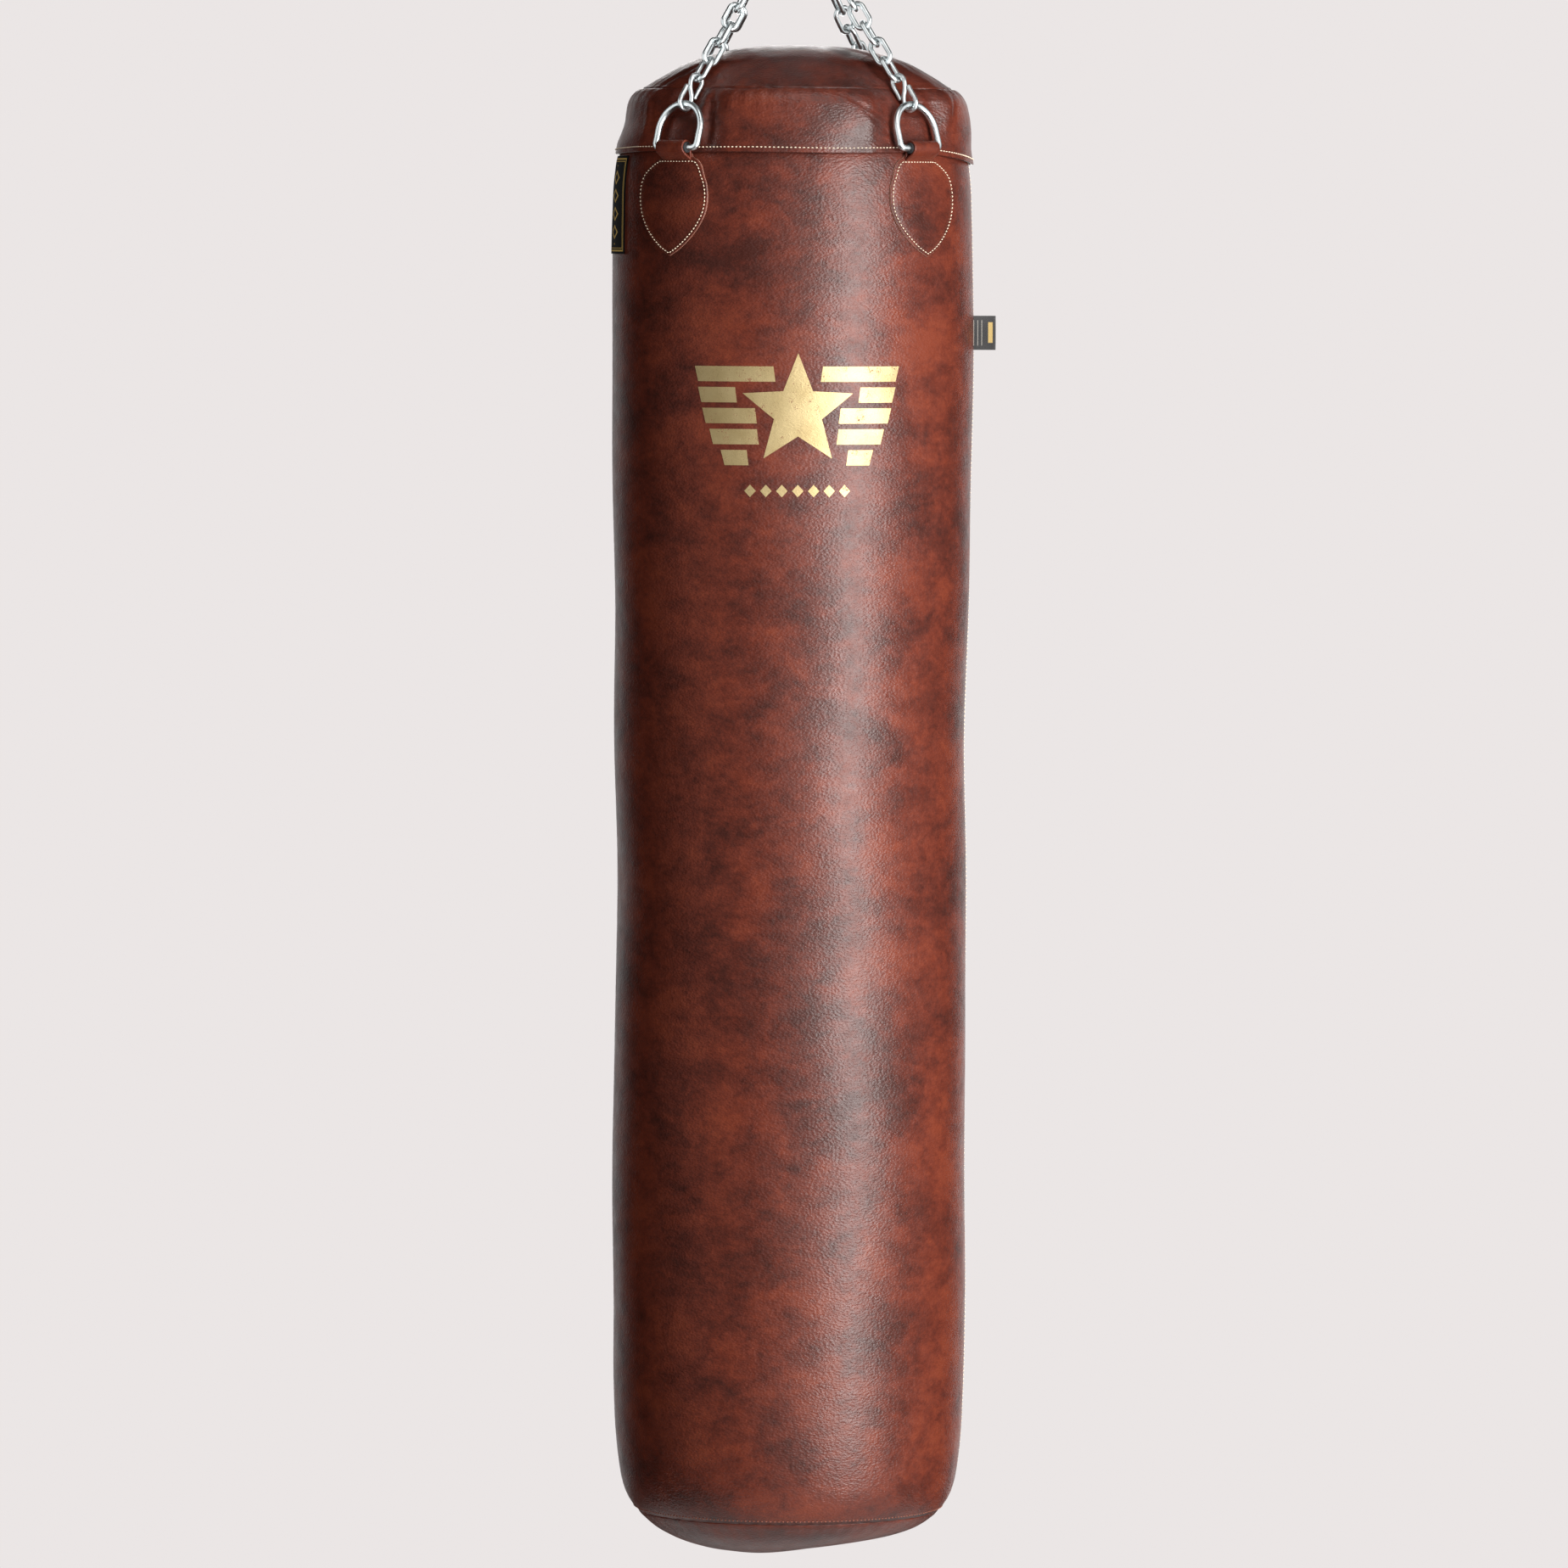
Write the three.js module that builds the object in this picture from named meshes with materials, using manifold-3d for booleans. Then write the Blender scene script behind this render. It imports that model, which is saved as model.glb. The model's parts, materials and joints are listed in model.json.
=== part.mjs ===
// Hanging punching bag: a filled leather tube with a domed cap, carried by four D rings,
// four S hooks and four chains that meet on a steel ring under a swivel snap hook.
// Millimetres, +Z up, front towards -Y. The origin is the inside of the snap hook's top,
// where the hook bears on whatever it is hung from.
import * as THREE from "three";
import { mergeVertices } from "three/addons/utils/BufferGeometryUtils.js";
import Module from "manifold-3d";

const wasm = await Module();
wasm.setup();

// ---- Driving dimensions ----
const GAP = 0.3; // clearance between pieces that touch
const BAG_RADIUS = 175;
const BAG_BELOW_BAR = 1399; // from the D rings' bars down to the bag's lowest point
const CAP_SEAM_ABOVE_BAR = 60; // where the skirt meets the domed lid
const CAP_TOP_ABOVE_BAR = 102;
const LEATHER = 2.6;

const HOOK_WIRE = 9;
const HOOK_HALF_WIDTH = 16.5; // centreline
const BOSS_TOP = -54;
const BOSS_BOTTOM = -68;
const BOSS_RADIUS = 11;
const STEM_RADIUS = 4.9;
const GATE_PIN_Z = -48;
const GATE_PIN_RADIUS = 1.4;
const GATE_PIN_LENGTH = 11.6;
const GATE_RADIUS = 3.2;
const GATE_TOP = -18.6;
const PIN_HOLE_RADIUS = GATE_PIN_RADIUS + GAP;
const CHEEK = { width: 7, thickness: 2, height: 16, z: -50, offset: 4.6 }; // the ears beside the gate's foot
const SHOULDER_RADIUS = 9; // the eye's flange, under the boss
const SHOULDER_THICKNESS = 3;
const RIVET_RADIUS = 7;
const WASHER_RADIUS = 8.5;
const WASHER_THICKNESS = 1.6;
const RIVET_LOW = BOSS_TOP + 2.2; // the rivet head sits just over the washer
const RIVET_TOP = BOSS_TOP + 6.5;

const EYE_RADIUS = 15; // centreline
const EYE_WIRE = 8;
const RING_RADIUS = 26; // centreline
const RING_WIRE = 7;
const RING_GAP = 0.8; // the top links rock on the ring, so they keep more clearance

const LINK_WIRE = 5;
const LINK_PITCH = 22.5;
const LINK_INNER_WIDTH = 10;
const LINKS_PER_CHAIN = 10;
const LINK_LENGTH = LINK_PITCH + LINK_WIRE + 0.6; // centreline; the links keep a little slack
const JOINED_LINK_LENGTH = LINK_PITCH + LINK_WIRE * 0.84; // so that neighbours touch
const SEPARATE_LINKS = 5; // links 1 to 5 are nodes of their own
const S_WIRE = 4.5;
const S_LENGTH = 40.5; // centreline, bight to bight
const S_BIGHT = 7; // centreline radius
const S_TIP = 17; // each tip's reach past its bight's centre

const D_WIRE = 6.5;
const D_HALF_WIDTH = 26.5; // centreline
const D_HEIGHT = 45; // bar to top, centreline
const D_LEAN = THREE.MathUtils.degToRad(17); // towards the cap
const D_CORNER = 5; // centreline radius of the corners at the bar
const D_SHIFT = 3; // each ring sits off its tab's middle
const BACK_LEAN = THREE.MathUtils.degToRad(15.2); // the back rings stand a little straighter
const FRONT_RING_AZIMUTH = 42.5; // each front ring's middle, in degrees from the front
const BACK_RING_AZIMUTH = 144; // the back rings are closer together
const BAR_RADIUS = 181.1; // from the bag's axis to the bar's centre
const LOOP_HALF_WIDTH = 18.5; // leather and webbing round the bar

const WIRE_SIDES = 6;
const ROUND = 44; // segments round the bag

// ---- Worked out from them ----
const EYE_WELD = 2.5; // how far the eye sinks into its flange
const eyeCentreZ = BOSS_BOTTOM - GAP - SHOULDER_THICKNESS - (EYE_RADIUS + EYE_WIRE / 2) + EYE_WELD;
const ringCentreZ = eyeCentreZ - EYE_RADIUS + (EYE_WIRE + RING_WIRE) / 2 + GAP - RING_RADIUS;
const strandLength =
  -(D_WIRE + S_WIRE) / 2 - GAP + S_LENGTH -
  ((S_WIRE + LINK_WIRE) / 2 + GAP) +
  (LINKS_PER_CHAIN - 1) * LINK_PITCH +
  LINK_LENGTH -
  ((LINK_WIRE + RING_WIRE) / 2 + RING_GAP);
const REST_ON_RING = THREE.MathUtils.degToRad(29); // where the chains' pull leaves the links on the ring
const LINK_SPACING_ON_RING = THREE.MathUtils.degToRad(6.8);

const corners = [
  { name: "front_left", azimuth: -FRONT_RING_AZIMUTH, lean: D_LEAN },
  { name: "front_right", azimuth: FRONT_RING_AZIMUTH, lean: D_LEAN },
  { name: "back_left", azimuth: -BACK_RING_AZIMUTH, lean: BACK_LEAN },
  { name: "back_right", azimuth: BACK_RING_AZIMUTH, lean: BACK_LEAN },
].map(({ name, azimuth, lean }) => {
  const a = THREE.MathUtils.degToRad(azimuth);
  const side = Math.sign(azimuth);
  const front = Math.abs(azimuth) < 90 ? 1 : -1;
  const out = new THREE.Vector3(Math.sin(a), -Math.cos(a), 0);
  const along = new THREE.Vector3(Math.cos(a), Math.sin(a), 0);
  const phi = REST_ON_RING + side * front * LINK_SPACING_ON_RING;
  const onRing = new THREE.Vector3(
    0, -front * RING_RADIUS * Math.sin(phi), ringCentreZ - RING_RADIUS * Math.cos(phi));
  const tangent = new THREE.Vector3(0, front * Math.cos(phi), -Math.sin(phi));
  return { name, lean, out, along, side, front, onRing, tangent };
});

// The top of a D ring, seen from the bar's height.
function ringTop(corner, barZ) {
  return new THREE.Vector3(0, 0, barZ + D_HEIGHT * Math.cos(corner.lean))
    .addScaledVector(corner.out, BAR_RADIUS - D_HEIGHT * Math.sin(corner.lean))
    .addScaledVector(corner.along, -corner.side * corner.front * D_SHIFT);
}
// The chains are taut, so their length sets how far the bag hangs below the ring.
const reach = ringTop(corners[1], 0);
const flat = Math.hypot(reach.x - corners[1].onRing.x, reach.y - corners[1].onRing.y);
const barZ = corners[1].onRing.z - Math.sqrt(strandLength ** 2 - flat ** 2) - reach.z;

// ---- Materials ----
const finish = (color, roughness, metalness) => new THREE.MeshStandardMaterial({ color, roughness, metalness });
const leather = finish(0x6b2a1f, 0.45, 0);
const zinc = finish(0xb9c2c2, 0.3, 0.95);
const steel = finish(0x9aa0a3, 0.35, 0.95);
const webbing = finish(0x16161a, 0.8, 0);
const foam = finish(0x55585c, 0.95, 0);
const textile = finish(0x8d8578, 0.95, 0);
const label = finish(0x1b1b1c, 0.7, 0);

// ---- Building blocks ----
// A path through the points it is given, with one tube section at each of them.
class WirePath extends THREE.Curve {
  constructor(points, closed = false) {
    super();
    this.points = points;
    this.closed = closed;
    this.spans = closed ? points.length : points.length - 1;
  }
  at(index) {
    const n = this.points.length;
    return this.closed ? this.points[((index % n) + n) % n] : this.points[THREE.MathUtils.clamp(index, 0, n - 1)];
  }
  getPoint(t, target = new THREE.Vector3()) {
    const place = t * this.spans;
    const index = Math.min(Math.round(place), this.spans);
    return target.copy(this.at(index));
  }
  getPointAt(u, target) {
    return this.getPoint(u, target);
  }
  getTangentAt(u, target = new THREE.Vector3()) {
    const index = Math.round(u * this.spans);
    return target.copy(this.at(index + 1)).sub(this.at(index - 1)).normalize();
  }
}

// Points of an arc in the XZ plane, from one angle to another, in degrees from +X towards +Z.
function arc(x, z, radius, from, to, steps) {
  return Array.from({ length: steps + 1 }, (_, i) => {
    const a = THREE.MathUtils.degToRad(from + ((to - from) * i) / steps);
    return new THREE.Vector3(x + radius * Math.cos(a), 0, z + radius * Math.sin(a));
  });
}

const point = (x, z) => new THREE.Vector3(x, 0, z);

const closedWire = (points, diameter, sides = WIRE_SIDES) =>
  new THREE.TubeGeometry(new WirePath(points, true), points.length, diameter / 2, sides, true);

function openWire(points, diameter, sides = WIRE_SIDES) {
  const section = new THREE.Shape().absarc(0, 0, diameter / 2, 0, 2 * Math.PI);
  return new THREE.ExtrudeGeometry(section, {
    steps: points.length - 1,
    curveSegments: sides / 2,
    bevelEnabled: false,
    extrudePath: new WirePath(points),
  });
}

// A solid turned about Z, from a closed outline of [radius, z] points listed anticlockwise.
function turned(outline, segments = ROUND) {
  const points = [...outline, outline[0]].map(([r, z]) => new THREE.Vector2(r, z));
  return new THREE.LatheGeometry(points, segments).rotateX(Math.PI / 2);
}

const cylinder = (radius, bottom, top, sides = 20) =>
  turned([[0, bottom], [radius, bottom], [radius, top], [0, top]], sides);

function solid(geometry) {
  const bare = geometry.clone();
  bare.deleteAttribute("normal");
  bare.deleteAttribute("uv");
  const merged = mergeVertices(bare, 1e-3);
  return new wasm.Manifold(new wasm.Mesh({
    numProp: 3,
    vertProperties: merged.getAttribute("position").array,
    triVerts: new Uint32Array(merged.index.array),
  }));
}

function geometryOf(manifold) {
  const mesh = manifold.getMesh();
  return new THREE.BufferGeometry()
    .setAttribute("position", new THREE.BufferAttribute(mesh.vertProperties, 3))
    .setIndex(new THREE.BufferAttribute(mesh.triVerts, 1));
}

const join = (...geometries) => geometryOf(geometries.map(solid).reduce((a, b) => a.add(b)));
const cut = (body, ...tools) => geometryOf(tools.map(solid).reduce((a, b) => a.subtract(b), solid(body)));

const model = new THREE.Group();
function add(name, geometry, material, parent = model) {
  const mesh = new THREE.Mesh(geometry, material);
  mesh.name = name;
  parent.add(mesh);
  return mesh;
}

// ---- Swivel snap hook ----
function snapHookBody() {
  const w = HOOK_HALF_WIDTH;
  const bow = openWire([
    point(-5, BOSS_BOTTOM + 7), point(-13, -57), ...arc(-4.5, -46, 12, 205, 180, 2),
    ...arc(0, HOOK_WIRE / 2 - w, w, 180, 0, 8), point(w, -18),
  ], HOOK_WIRE, 10);
  const arm = openWire([point(5, BOSS_BOTTOM + 7), point(13, -58.5), point(w, -54)], HOOK_WIRE, 10);
  const boss = cylinder(BOSS_RADIUS, BOSS_BOTTOM, BOSS_TOP);
  const cheek = (y) =>
    new THREE.BoxGeometry(CHEEK.width, CHEEK.thickness, CHEEK.height).translate(w, y, CHEEK.z);
  const body = join(bow, arm, boss, cheek(CHEEK.offset), cheek(-CHEEK.offset));
  const bore = cylinder(STEM_RADIUS + GAP, BOSS_BOTTOM - 1, BOSS_TOP + 1);
  const seat = cylinder(WASHER_RADIUS + 0.5, BOSS_TOP, BOSS_TOP + 8);
  const pinHole = new THREE.CylinderGeometry(PIN_HOLE_RADIUS, PIN_HOLE_RADIUS, 20, 12).translate(w, 0, GATE_PIN_Z);
  const tongueRoom = new THREE.BoxGeometry(9.5, 7.2, 9).translate(w, 0, GATE_PIN_Z + 0.2);
  return cut(body, bore, seat, pinHole, tongueRoom);
}

function gate() {
  const bar = new THREE.CylinderGeometry(GATE_RADIUS, GATE_RADIUS, GATE_TOP - GATE_PIN_Z, 12)
    .rotateX(Math.PI / 2).translate(0, 0, (GATE_TOP + GATE_PIN_Z) / 2);
  const knuckle = new THREE.CylinderGeometry(GATE_RADIUS, GATE_RADIUS, 2 * GATE_RADIUS, 12).translate(0, 0, GATE_PIN_Z);
  const pinHole = new THREE.CylinderGeometry(PIN_HOLE_RADIUS, PIN_HOLE_RADIUS, 20, 12).translate(0, 0, GATE_PIN_Z);
  return cut(join(bar, knuckle), pinHole);
}

function swivelEye() {
  const shoulderTop = BOSS_BOTTOM - GAP;
  const stem = turned([
    [0, shoulderTop - SHOULDER_THICKNESS], [SHOULDER_RADIUS, shoulderTop - SHOULDER_THICKNESS],
    [SHOULDER_RADIUS, shoulderTop], [STEM_RADIUS, shoulderTop], [STEM_RADIUS, RIVET_LOW], [RIVET_RADIUS, RIVET_LOW],
    [RIVET_RADIUS, RIVET_TOP - 1.5], [RIVET_RADIUS - 2.5, RIVET_TOP], [0, RIVET_TOP],
  ], 20);
  const eye = new THREE.TorusGeometry(EYE_RADIUS, EYE_WIRE / 2, 8, 24)
    .rotateX(Math.PI / 2).translate(0, 0, eyeCentreZ);
  return join(stem, eye);
}

function thrustWasher() {
  const inner = STEM_RADIUS + GAP;
  const low = BOSS_TOP + GAP;
  const high = low + WASHER_THICKNESS;
  return turned([[inner, low], [WASHER_RADIUS, low], [WASHER_RADIUS, high], [inner, high]], 20);
}

add("snap_hook_body", snapHookBody(), zinc);
add("snap_hook_gate", gate(), zinc).position.x = HOOK_HALF_WIDTH;
add("gate_pin", new THREE.CylinderGeometry(GATE_PIN_RADIUS, GATE_PIN_RADIUS, GATE_PIN_LENGTH, 12), steel)
  .position.set(HOOK_HALF_WIDTH, 0, GATE_PIN_Z);
add("swivel_eye", swivelEye(), zinc);
add("swivel_washer", thrustWasher(), steel);
add("master_ring", new THREE.TorusGeometry(RING_RADIUS, RING_WIRE / 2, 8, 28).rotateY(Math.PI / 2), zinc)
  .position.z = ringCentreZ;

// ---- Chains and S hooks ----
// One chain link, standing along Z in the XZ plane, with its lower end's centreline at z = 0.
function link(length) {
  const r = (LINK_INNER_WIDTH + LINK_WIRE) / 2;
  return closedWire([...arc(0, length - r, r, 0, 180, 4), ...arc(0, r, r, 180, 360, 4)], LINK_WIRE);
}

// The S hook in the XZ plane, with the D ring's wire at z = 0: +X is away from the bag.
function sHook() {
  const low = -(D_WIRE + S_WIRE) / 2 - GAP + S_BIGHT;
  const high = low + S_LENGTH - 2 * S_BIGHT;
  return openWire([
    point(-S_BIGHT - 0.8, high - S_TIP), point(-S_BIGHT - 0.3, high - S_TIP / 2),
    ...arc(0, high, S_BIGHT, 180, 0, 5),
    point(S_BIGHT * 0.55, high - 9), point(-S_BIGHT * 0.55, low + 9),
    ...arc(0, low, S_BIGHT, -180, 0, 5),
    point(S_BIGHT + 0.3, low + S_TIP / 2), point(S_BIGHT + 0.8, low + S_TIP),
  ], S_WIRE);
}

const firstLinkStart =
  -(D_WIRE + S_WIRE) / 2 - GAP + S_LENGTH - (S_WIRE + LINK_WIRE) / 2 - GAP;
const START_TWIST = THREE.MathUtils.degToRad(10);

for (const corner of corners) {
  const top = ringTop(corner, barZ);
  const up = corner.onRing.clone().sub(top).normalize();
  const away = corner.out.clone().addScaledVector(up, -corner.out.dot(up)).normalize();
  const across = up.clone().cross(away);
  // The chain turns a little at each link, until the last one lies square on the ring.
  const turnSign = corner.side * corner.front;
  const endTwist = Math.acos(Math.abs(across.dot(corner.tangent)));
  const chain = new THREE.Group();
  chain.position.copy(top);
  chain.quaternion.setFromRotationMatrix(new THREE.Matrix4().makeBasis(away, across, up));
  model.add(chain);

  const hook = add(`s_hook_${corner.name}`, sHook(), zinc, chain);
  hook.rotation.z = turnSign * START_TWIST;

  const placed = (i, length) => {
    const twist = START_TWIST + ((endTwist - START_TWIST) * i) / LINKS_PER_CHAIN;
    const quarter = i % 2 ? Math.PI / 2 : 0;
    return link(length).rotateZ(turnSign * twist + quarter)
      .translate(0, 0, firstLinkStart + (i - 1) * LINK_PITCH);
  };
  for (let i = 1; i <= SEPARATE_LINKS; i++)
    add(`chain_${corner.name}_link_${i}`, placed(i, LINK_LENGTH), zinc, chain);
  const upper = [];
  for (let i = SEPARATE_LINKS + 1; i < LINKS_PER_CHAIN; i++)
    upper.push(placed(i, i === LINKS_PER_CHAIN - 1 ? LINK_LENGTH : JOINED_LINK_LENGTH));
  add(`chain_${corner.name}_upper_links`, join(...upper), zinc, chain);
  add(`top_link_${corner.name}`, placed(LINKS_PER_CHAIN, LINK_LENGTH), zinc, chain);
}

// ---- D rings, webbing and leather tabs ----
// The D ring in the XZ plane with its bar's centre at the origin.
function dRing() {
  const w = D_HALF_WIDTH;
  return closedWire([
    ...arc(0, D_HEIGHT - w, w, 0, 180, 8),
    ...arc(-w + D_CORNER, D_CORNER, D_CORNER, 180, 270, 2),
    ...arc(w - D_CORNER, D_CORNER, D_CORNER, 270, 360, 2),
  ], D_WIRE, 8);
}

// The cover's outer radius at a height above the bars.
const PROFILE = [
  [-1355, 153], [-1350, 157], [-1335, 164], [-1314, 169], [-1289, 172.5], [-1240, 174.5],
  [-650, BAG_RADIUS], [-420, 176.5], [-250, 178.5], [-80, 178], [-30, 176], [-8, 172.8], [0, 169.7], [12, 166],
];
function coverRadius(h) {
  const i = Math.max(1, PROFILE.findIndex(([z]) => z >= h));
  const [z0, r0] = PROFILE[i - 1];
  const [z1, r1] = PROFILE[i];
  return r0 + ((r1 - r0) * (h - z0)) / (z1 - z0);
}

// The leaf below the loop: half its width at a height below the bar.
const LEAF_TOP = -7;
const LEAF_TIP = -107;
const LEAF_HALF_WIDTH = 49;
const LEAF_SHIFT = 7.5; // each leaf is cut off its loop's middle, away from the other tab of its pair
function leafHalfWidth(h) {
  const t = (h - LEAF_TOP) / (LEAF_TIP - LEAF_TOP);
  const swell = Math.sin(Math.PI * Math.pow(t, 0.8));
  return THREE.MathUtils.lerp(LOOP_HALF_WIDTH, 1, t) + (LEAF_HALF_WIDTH - 11) * swell;
}

// A leather leaf that lies on the cover, bent round the bag's axis at the azimuth of its corner.
function leaf(shift) {
  const g = new THREE.BoxGeometry(2, 1, 1, 8, 1, 8);
  const p = g.getAttribute("position");
  for (let i = 0; i < p.count; i++) {
    const h = THREE.MathUtils.lerp(LEAF_TIP, LEAF_TOP, p.getZ(i) + 0.5);
    const radius = coverRadius(h) + 1 + (p.getY(i) < 0 ? LEATHER : 0);
    const turned = shift * Math.min(1, (LEAF_TOP - h) / 25);
    const a = (p.getX(i) * leafHalfWidth(h) + turned) / BAG_RADIUS;
    p.setXYZ(i, radius * Math.sin(a), -radius * Math.cos(a), h);
  }
  return g;
}

// The loop over the bar, drawn in the plane that holds the bag's axis and pulled sideways.
function loop() {
  const inner = D_WIRE / 2 + 2.1;
  const outer = inner + 2;
  const shape = new THREE.Shape();
  shape.absarc(0, 0, outer, -0.62 * Math.PI, 0.95 * Math.PI, false);
  shape.absarc(0, 0, inner, 0.95 * Math.PI, -0.62 * Math.PI, true);
  const width = 2 * LOOP_HALF_WIDTH;
  const band = new THREE.ExtrudeGeometry(shape, { depth: width, bevelEnabled: false, curveSegments: 10 });
  // shape x points away from the bag (-Y here), shape y points up
  return band.translate(0, 0, -LOOP_HALF_WIDTH).applyMatrix4(new THREE.Matrix4().makeBasis(
    new THREE.Vector3(0, -1, 0), new THREE.Vector3(0, 0, 1), new THREE.Vector3(-1, 0, 0)))
    .translate(0, -BAR_RADIUS, 0);
}

function tab(shift) {
  const foot = new THREE.BoxGeometry(2 * LOOP_HALF_WIDTH, 7, 4.6).translate(0, -BAR_RADIUS + 1.5, -8.2);
  return cut(join(leaf(shift), loop(), foot), new THREE.CylinderGeometry(5.3, 5.3, 60, 16)
    .rotateZ(Math.PI / 2).translate(0, -BAR_RADIUS, 0), bagRoom());
}

// What the cover and the skirt take up behind a tab.
function bagRoom() {
  const outline = [[100, -140], ...PROFILE.filter(([z]) => z > -300 && z < -8).map(([z, r]) => [r + GAP, z])];
  outline[1] = [coverRadius(-140) + GAP, -140];
  return turned([...outline.filter(([, z]) => z >= -140), [173.7, -8], [173.7, 20], [100, 20]], 96);
}

function webbingSleeve() {
  const inner = D_WIRE / 2 + 0.4;
  return turned([[inner, -LOOP_HALF_WIDTH], [5, -LOOP_HALF_WIDTH], [5, LOOP_HALF_WIDTH], [inner, LOOP_HALF_WIDTH]], 12)
    .rotateY(Math.PI / 2);
}

for (const corner of corners) {
  const turn = Math.atan2(corner.along.y, corner.along.x);
  const seat = new THREE.Group();
  seat.position.z = barZ;
  seat.rotation.z = turn;
  model.add(seat);
  add(`ring_tab_${corner.name}`, tab(corner.side * corner.front * LEAF_SHIFT), leather, seat);
  add(`webbing_${corner.name}`, webbingSleeve(), webbing, seat).position.y = -BAR_RADIUS;
  const ring = add(`d_ring_${corner.name}`, dRing(), zinc, seat);
  ring.position.set(-corner.side * corner.front * D_SHIFT, -BAR_RADIUS, 0);
  ring.rotation.x = -corner.lean;
}

// ---- The bag ----
// How far the rings and hooks press the cap in, at a height above the bars.
function pressDepth(azimuthFromRing, h, radius) {
  const across = Math.abs(azimuthFromRing) * BAG_RADIUS;
  const ringLimit = BAR_RADIUS - h * Math.tan(D_LEAN) - D_WIRE / 2 - 4.4;
  const wide = h < D_HEIGHT ? Math.max(0, radius - ringLimit) : 8;
  const hookLimit = 158.5 - 0.757 * (h - 37.6);
  const deep = Math.max(0, radius - hookLimit);
  const fade = 1 - THREE.MathUtils.smoothstep(across, 32, 62);
  const inner = 1 - THREE.MathUtils.smoothstep(across, 8, 34);
  const hookShare = THREE.MathUtils.smoothstep(h, 18, 34);
  return Math.min(wide, radius / 8) * fade * (1 - THREE.MathUtils.smoothstep(h, 60, 85)) +
    Math.max(0, deep - wide) * inner * hookShare * (h > 30 ? 1 : 0.5);
}

// A turned shell, pressed in near the D rings. Each inner point moves as far as the outer point it
// backs, so the wall keeps its thickness.
function pressed(outline, segments) {
  const geometry = turned(outline, segments);
  const p = geometry.getAttribute("position");
  const ring = outline.length + 1; // the outline's first point is there twice
  for (let i = 0; i < p.count; i++) {
    const x = p.getX(i), y = p.getY(i);
    const radius = Math.hypot(x, y);
    if (radius < 1) continue;
    const place = (i % ring) % outline.length;
    const [outerRadius, h] = outline[Math.min(place, outline.length - 1 - place)];
    const azimuth = THREE.MathUtils.radToDeg(Math.abs(Math.atan2(x, -y)));
    const nearest = Math.min(Math.abs(azimuth - FRONT_RING_AZIMUTH), Math.abs(azimuth - BACK_RING_AZIMUTH));
    const fromRing = THREE.MathUtils.degToRad(nearest);
    const k = 1 - pressDepth(fromRing, h, outerRadius) / radius;
    p.setXY(i, x * k, y * k);
  }
  return geometry;
}

// A shell from its outer profile, as [height, radius] points from the bottom up, inset by its thickness.
function shell(profile, thickness) {
  const outer = profile.map(([h, r]) => new THREE.Vector2(r, h));
  const inner = outer.map((p, i) => {
    const before = outer[Math.max(0, i - 1)];
    const after = outer[Math.min(outer.length - 1, i + 1)];
    const along = after.clone().sub(before).normalize();
    return new THREE.Vector2(Math.max(0, p.x - along.y * thickness), p.y + along.x * thickness);
  });
  return [...outer, ...inner.reverse()].map((p) => [p.x, p.y]);
}

const cover = shell(PROFILE, LEATHER);
const skirt = shell([
  [-4, 177.6], [0, 176.6], [14, 176], [26, 174.6], [36, 172.2], [45, 168.6], [52, 163.6], [57, 158],
], LEATHER);
const lid = shell([
  [CAP_SEAM_ABOVE_BAR - 2.2, 153.4], [66, 143], [73, 131], [84, 110], [92, 86], [98, 60], [101, 36], [CAP_TOP_ABOVE_BAR, 0],
], LEATHER);
const bottom = shell([
  [-BAG_BELOW_BAR, 0], [-1395.5, 41], [-1388, 90], [-1380.4, 117.6], [-1373, 133], [-1365, 143], [-1358.5, 149],
], LEATHER);
const padding = shell([[-1335, 158], [-1310, 165.5], [-1240, 170], [-650, 171.5], [-250, 174.5], [-60, 173.5], [-20, 168]], 12);
const filling = [
  [0, -1392], [41, -1388], [88, -1381], [114, -1374], [130, -1366], [141, -1350], [144, -1330], [150, -1305],
  [156, -1240], [158.5, -650], [161, -250], [160, -60], [153, -15], [146, 20], [138, 45], [128, 58], [92, 80], [0, 92],
];

const bag = new THREE.Group();
bag.position.z = barZ;
model.add(bag);
add("cover_panel", turned(cover), leather, bag);
add("cap_skirt", pressed(skirt, 56), leather, bag);
add("cap_lid", pressed(lid, 56), leather, bag);
add("bottom_panel", turned(bottom), leather, bag);
add("padding_layer", turned(padding, 28), foam, bag);
add("packed_filling", turned(filling, 28), textile, bag);

// Woven label on the left side and folded tag in the seam on the right side.
const LABEL = { middle: -82, halfWidth: 33, low: -105, high: -8 };
const TAG = { middle: -182.5, height: 34, reach: 24, thickness: 1.2 };

function sideLabel() {
  const g = new THREE.BoxGeometry(2, 1, 1, 6, 1, 3);
  const p = g.getAttribute("position");
  const middle = THREE.MathUtils.degToRad(LABEL.middle);
  for (let i = 0; i < p.count; i++) {
    const h = THREE.MathUtils.lerp(LABEL.low, LABEL.high, p.getZ(i) + 0.5);
    const radius = coverRadius(h) + 0.9 + (p.getY(i) < 0 ? 0.8 : 0);
    const a = middle + (p.getX(i) * LABEL.halfWidth) / BAG_RADIUS;
    p.setXYZ(i, radius * Math.sin(a), -radius * Math.cos(a), h);
  }
  return g;
}

add("side_label", sideLabel(), label, bag);
add("seam_tag", new THREE.BoxGeometry(TAG.reach, TAG.thickness, TAG.height), label, bag)
  .position.set(coverRadius(TAG.middle) + GAP + TAG.reach / 2, 0, TAG.middle);

export default model;
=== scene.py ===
"""A hanging punching bag: a packed leather tube with a domed cap, four leaf-shaped ring tabs,
D rings, S hooks and chains that meet on a steel ring under a swivel snap hook.

The CAD frame gives every place. Each section below makes one piece of the bag, or one group of
like pieces, in the order in which the bag is put together.
"""
import json
import math

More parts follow.
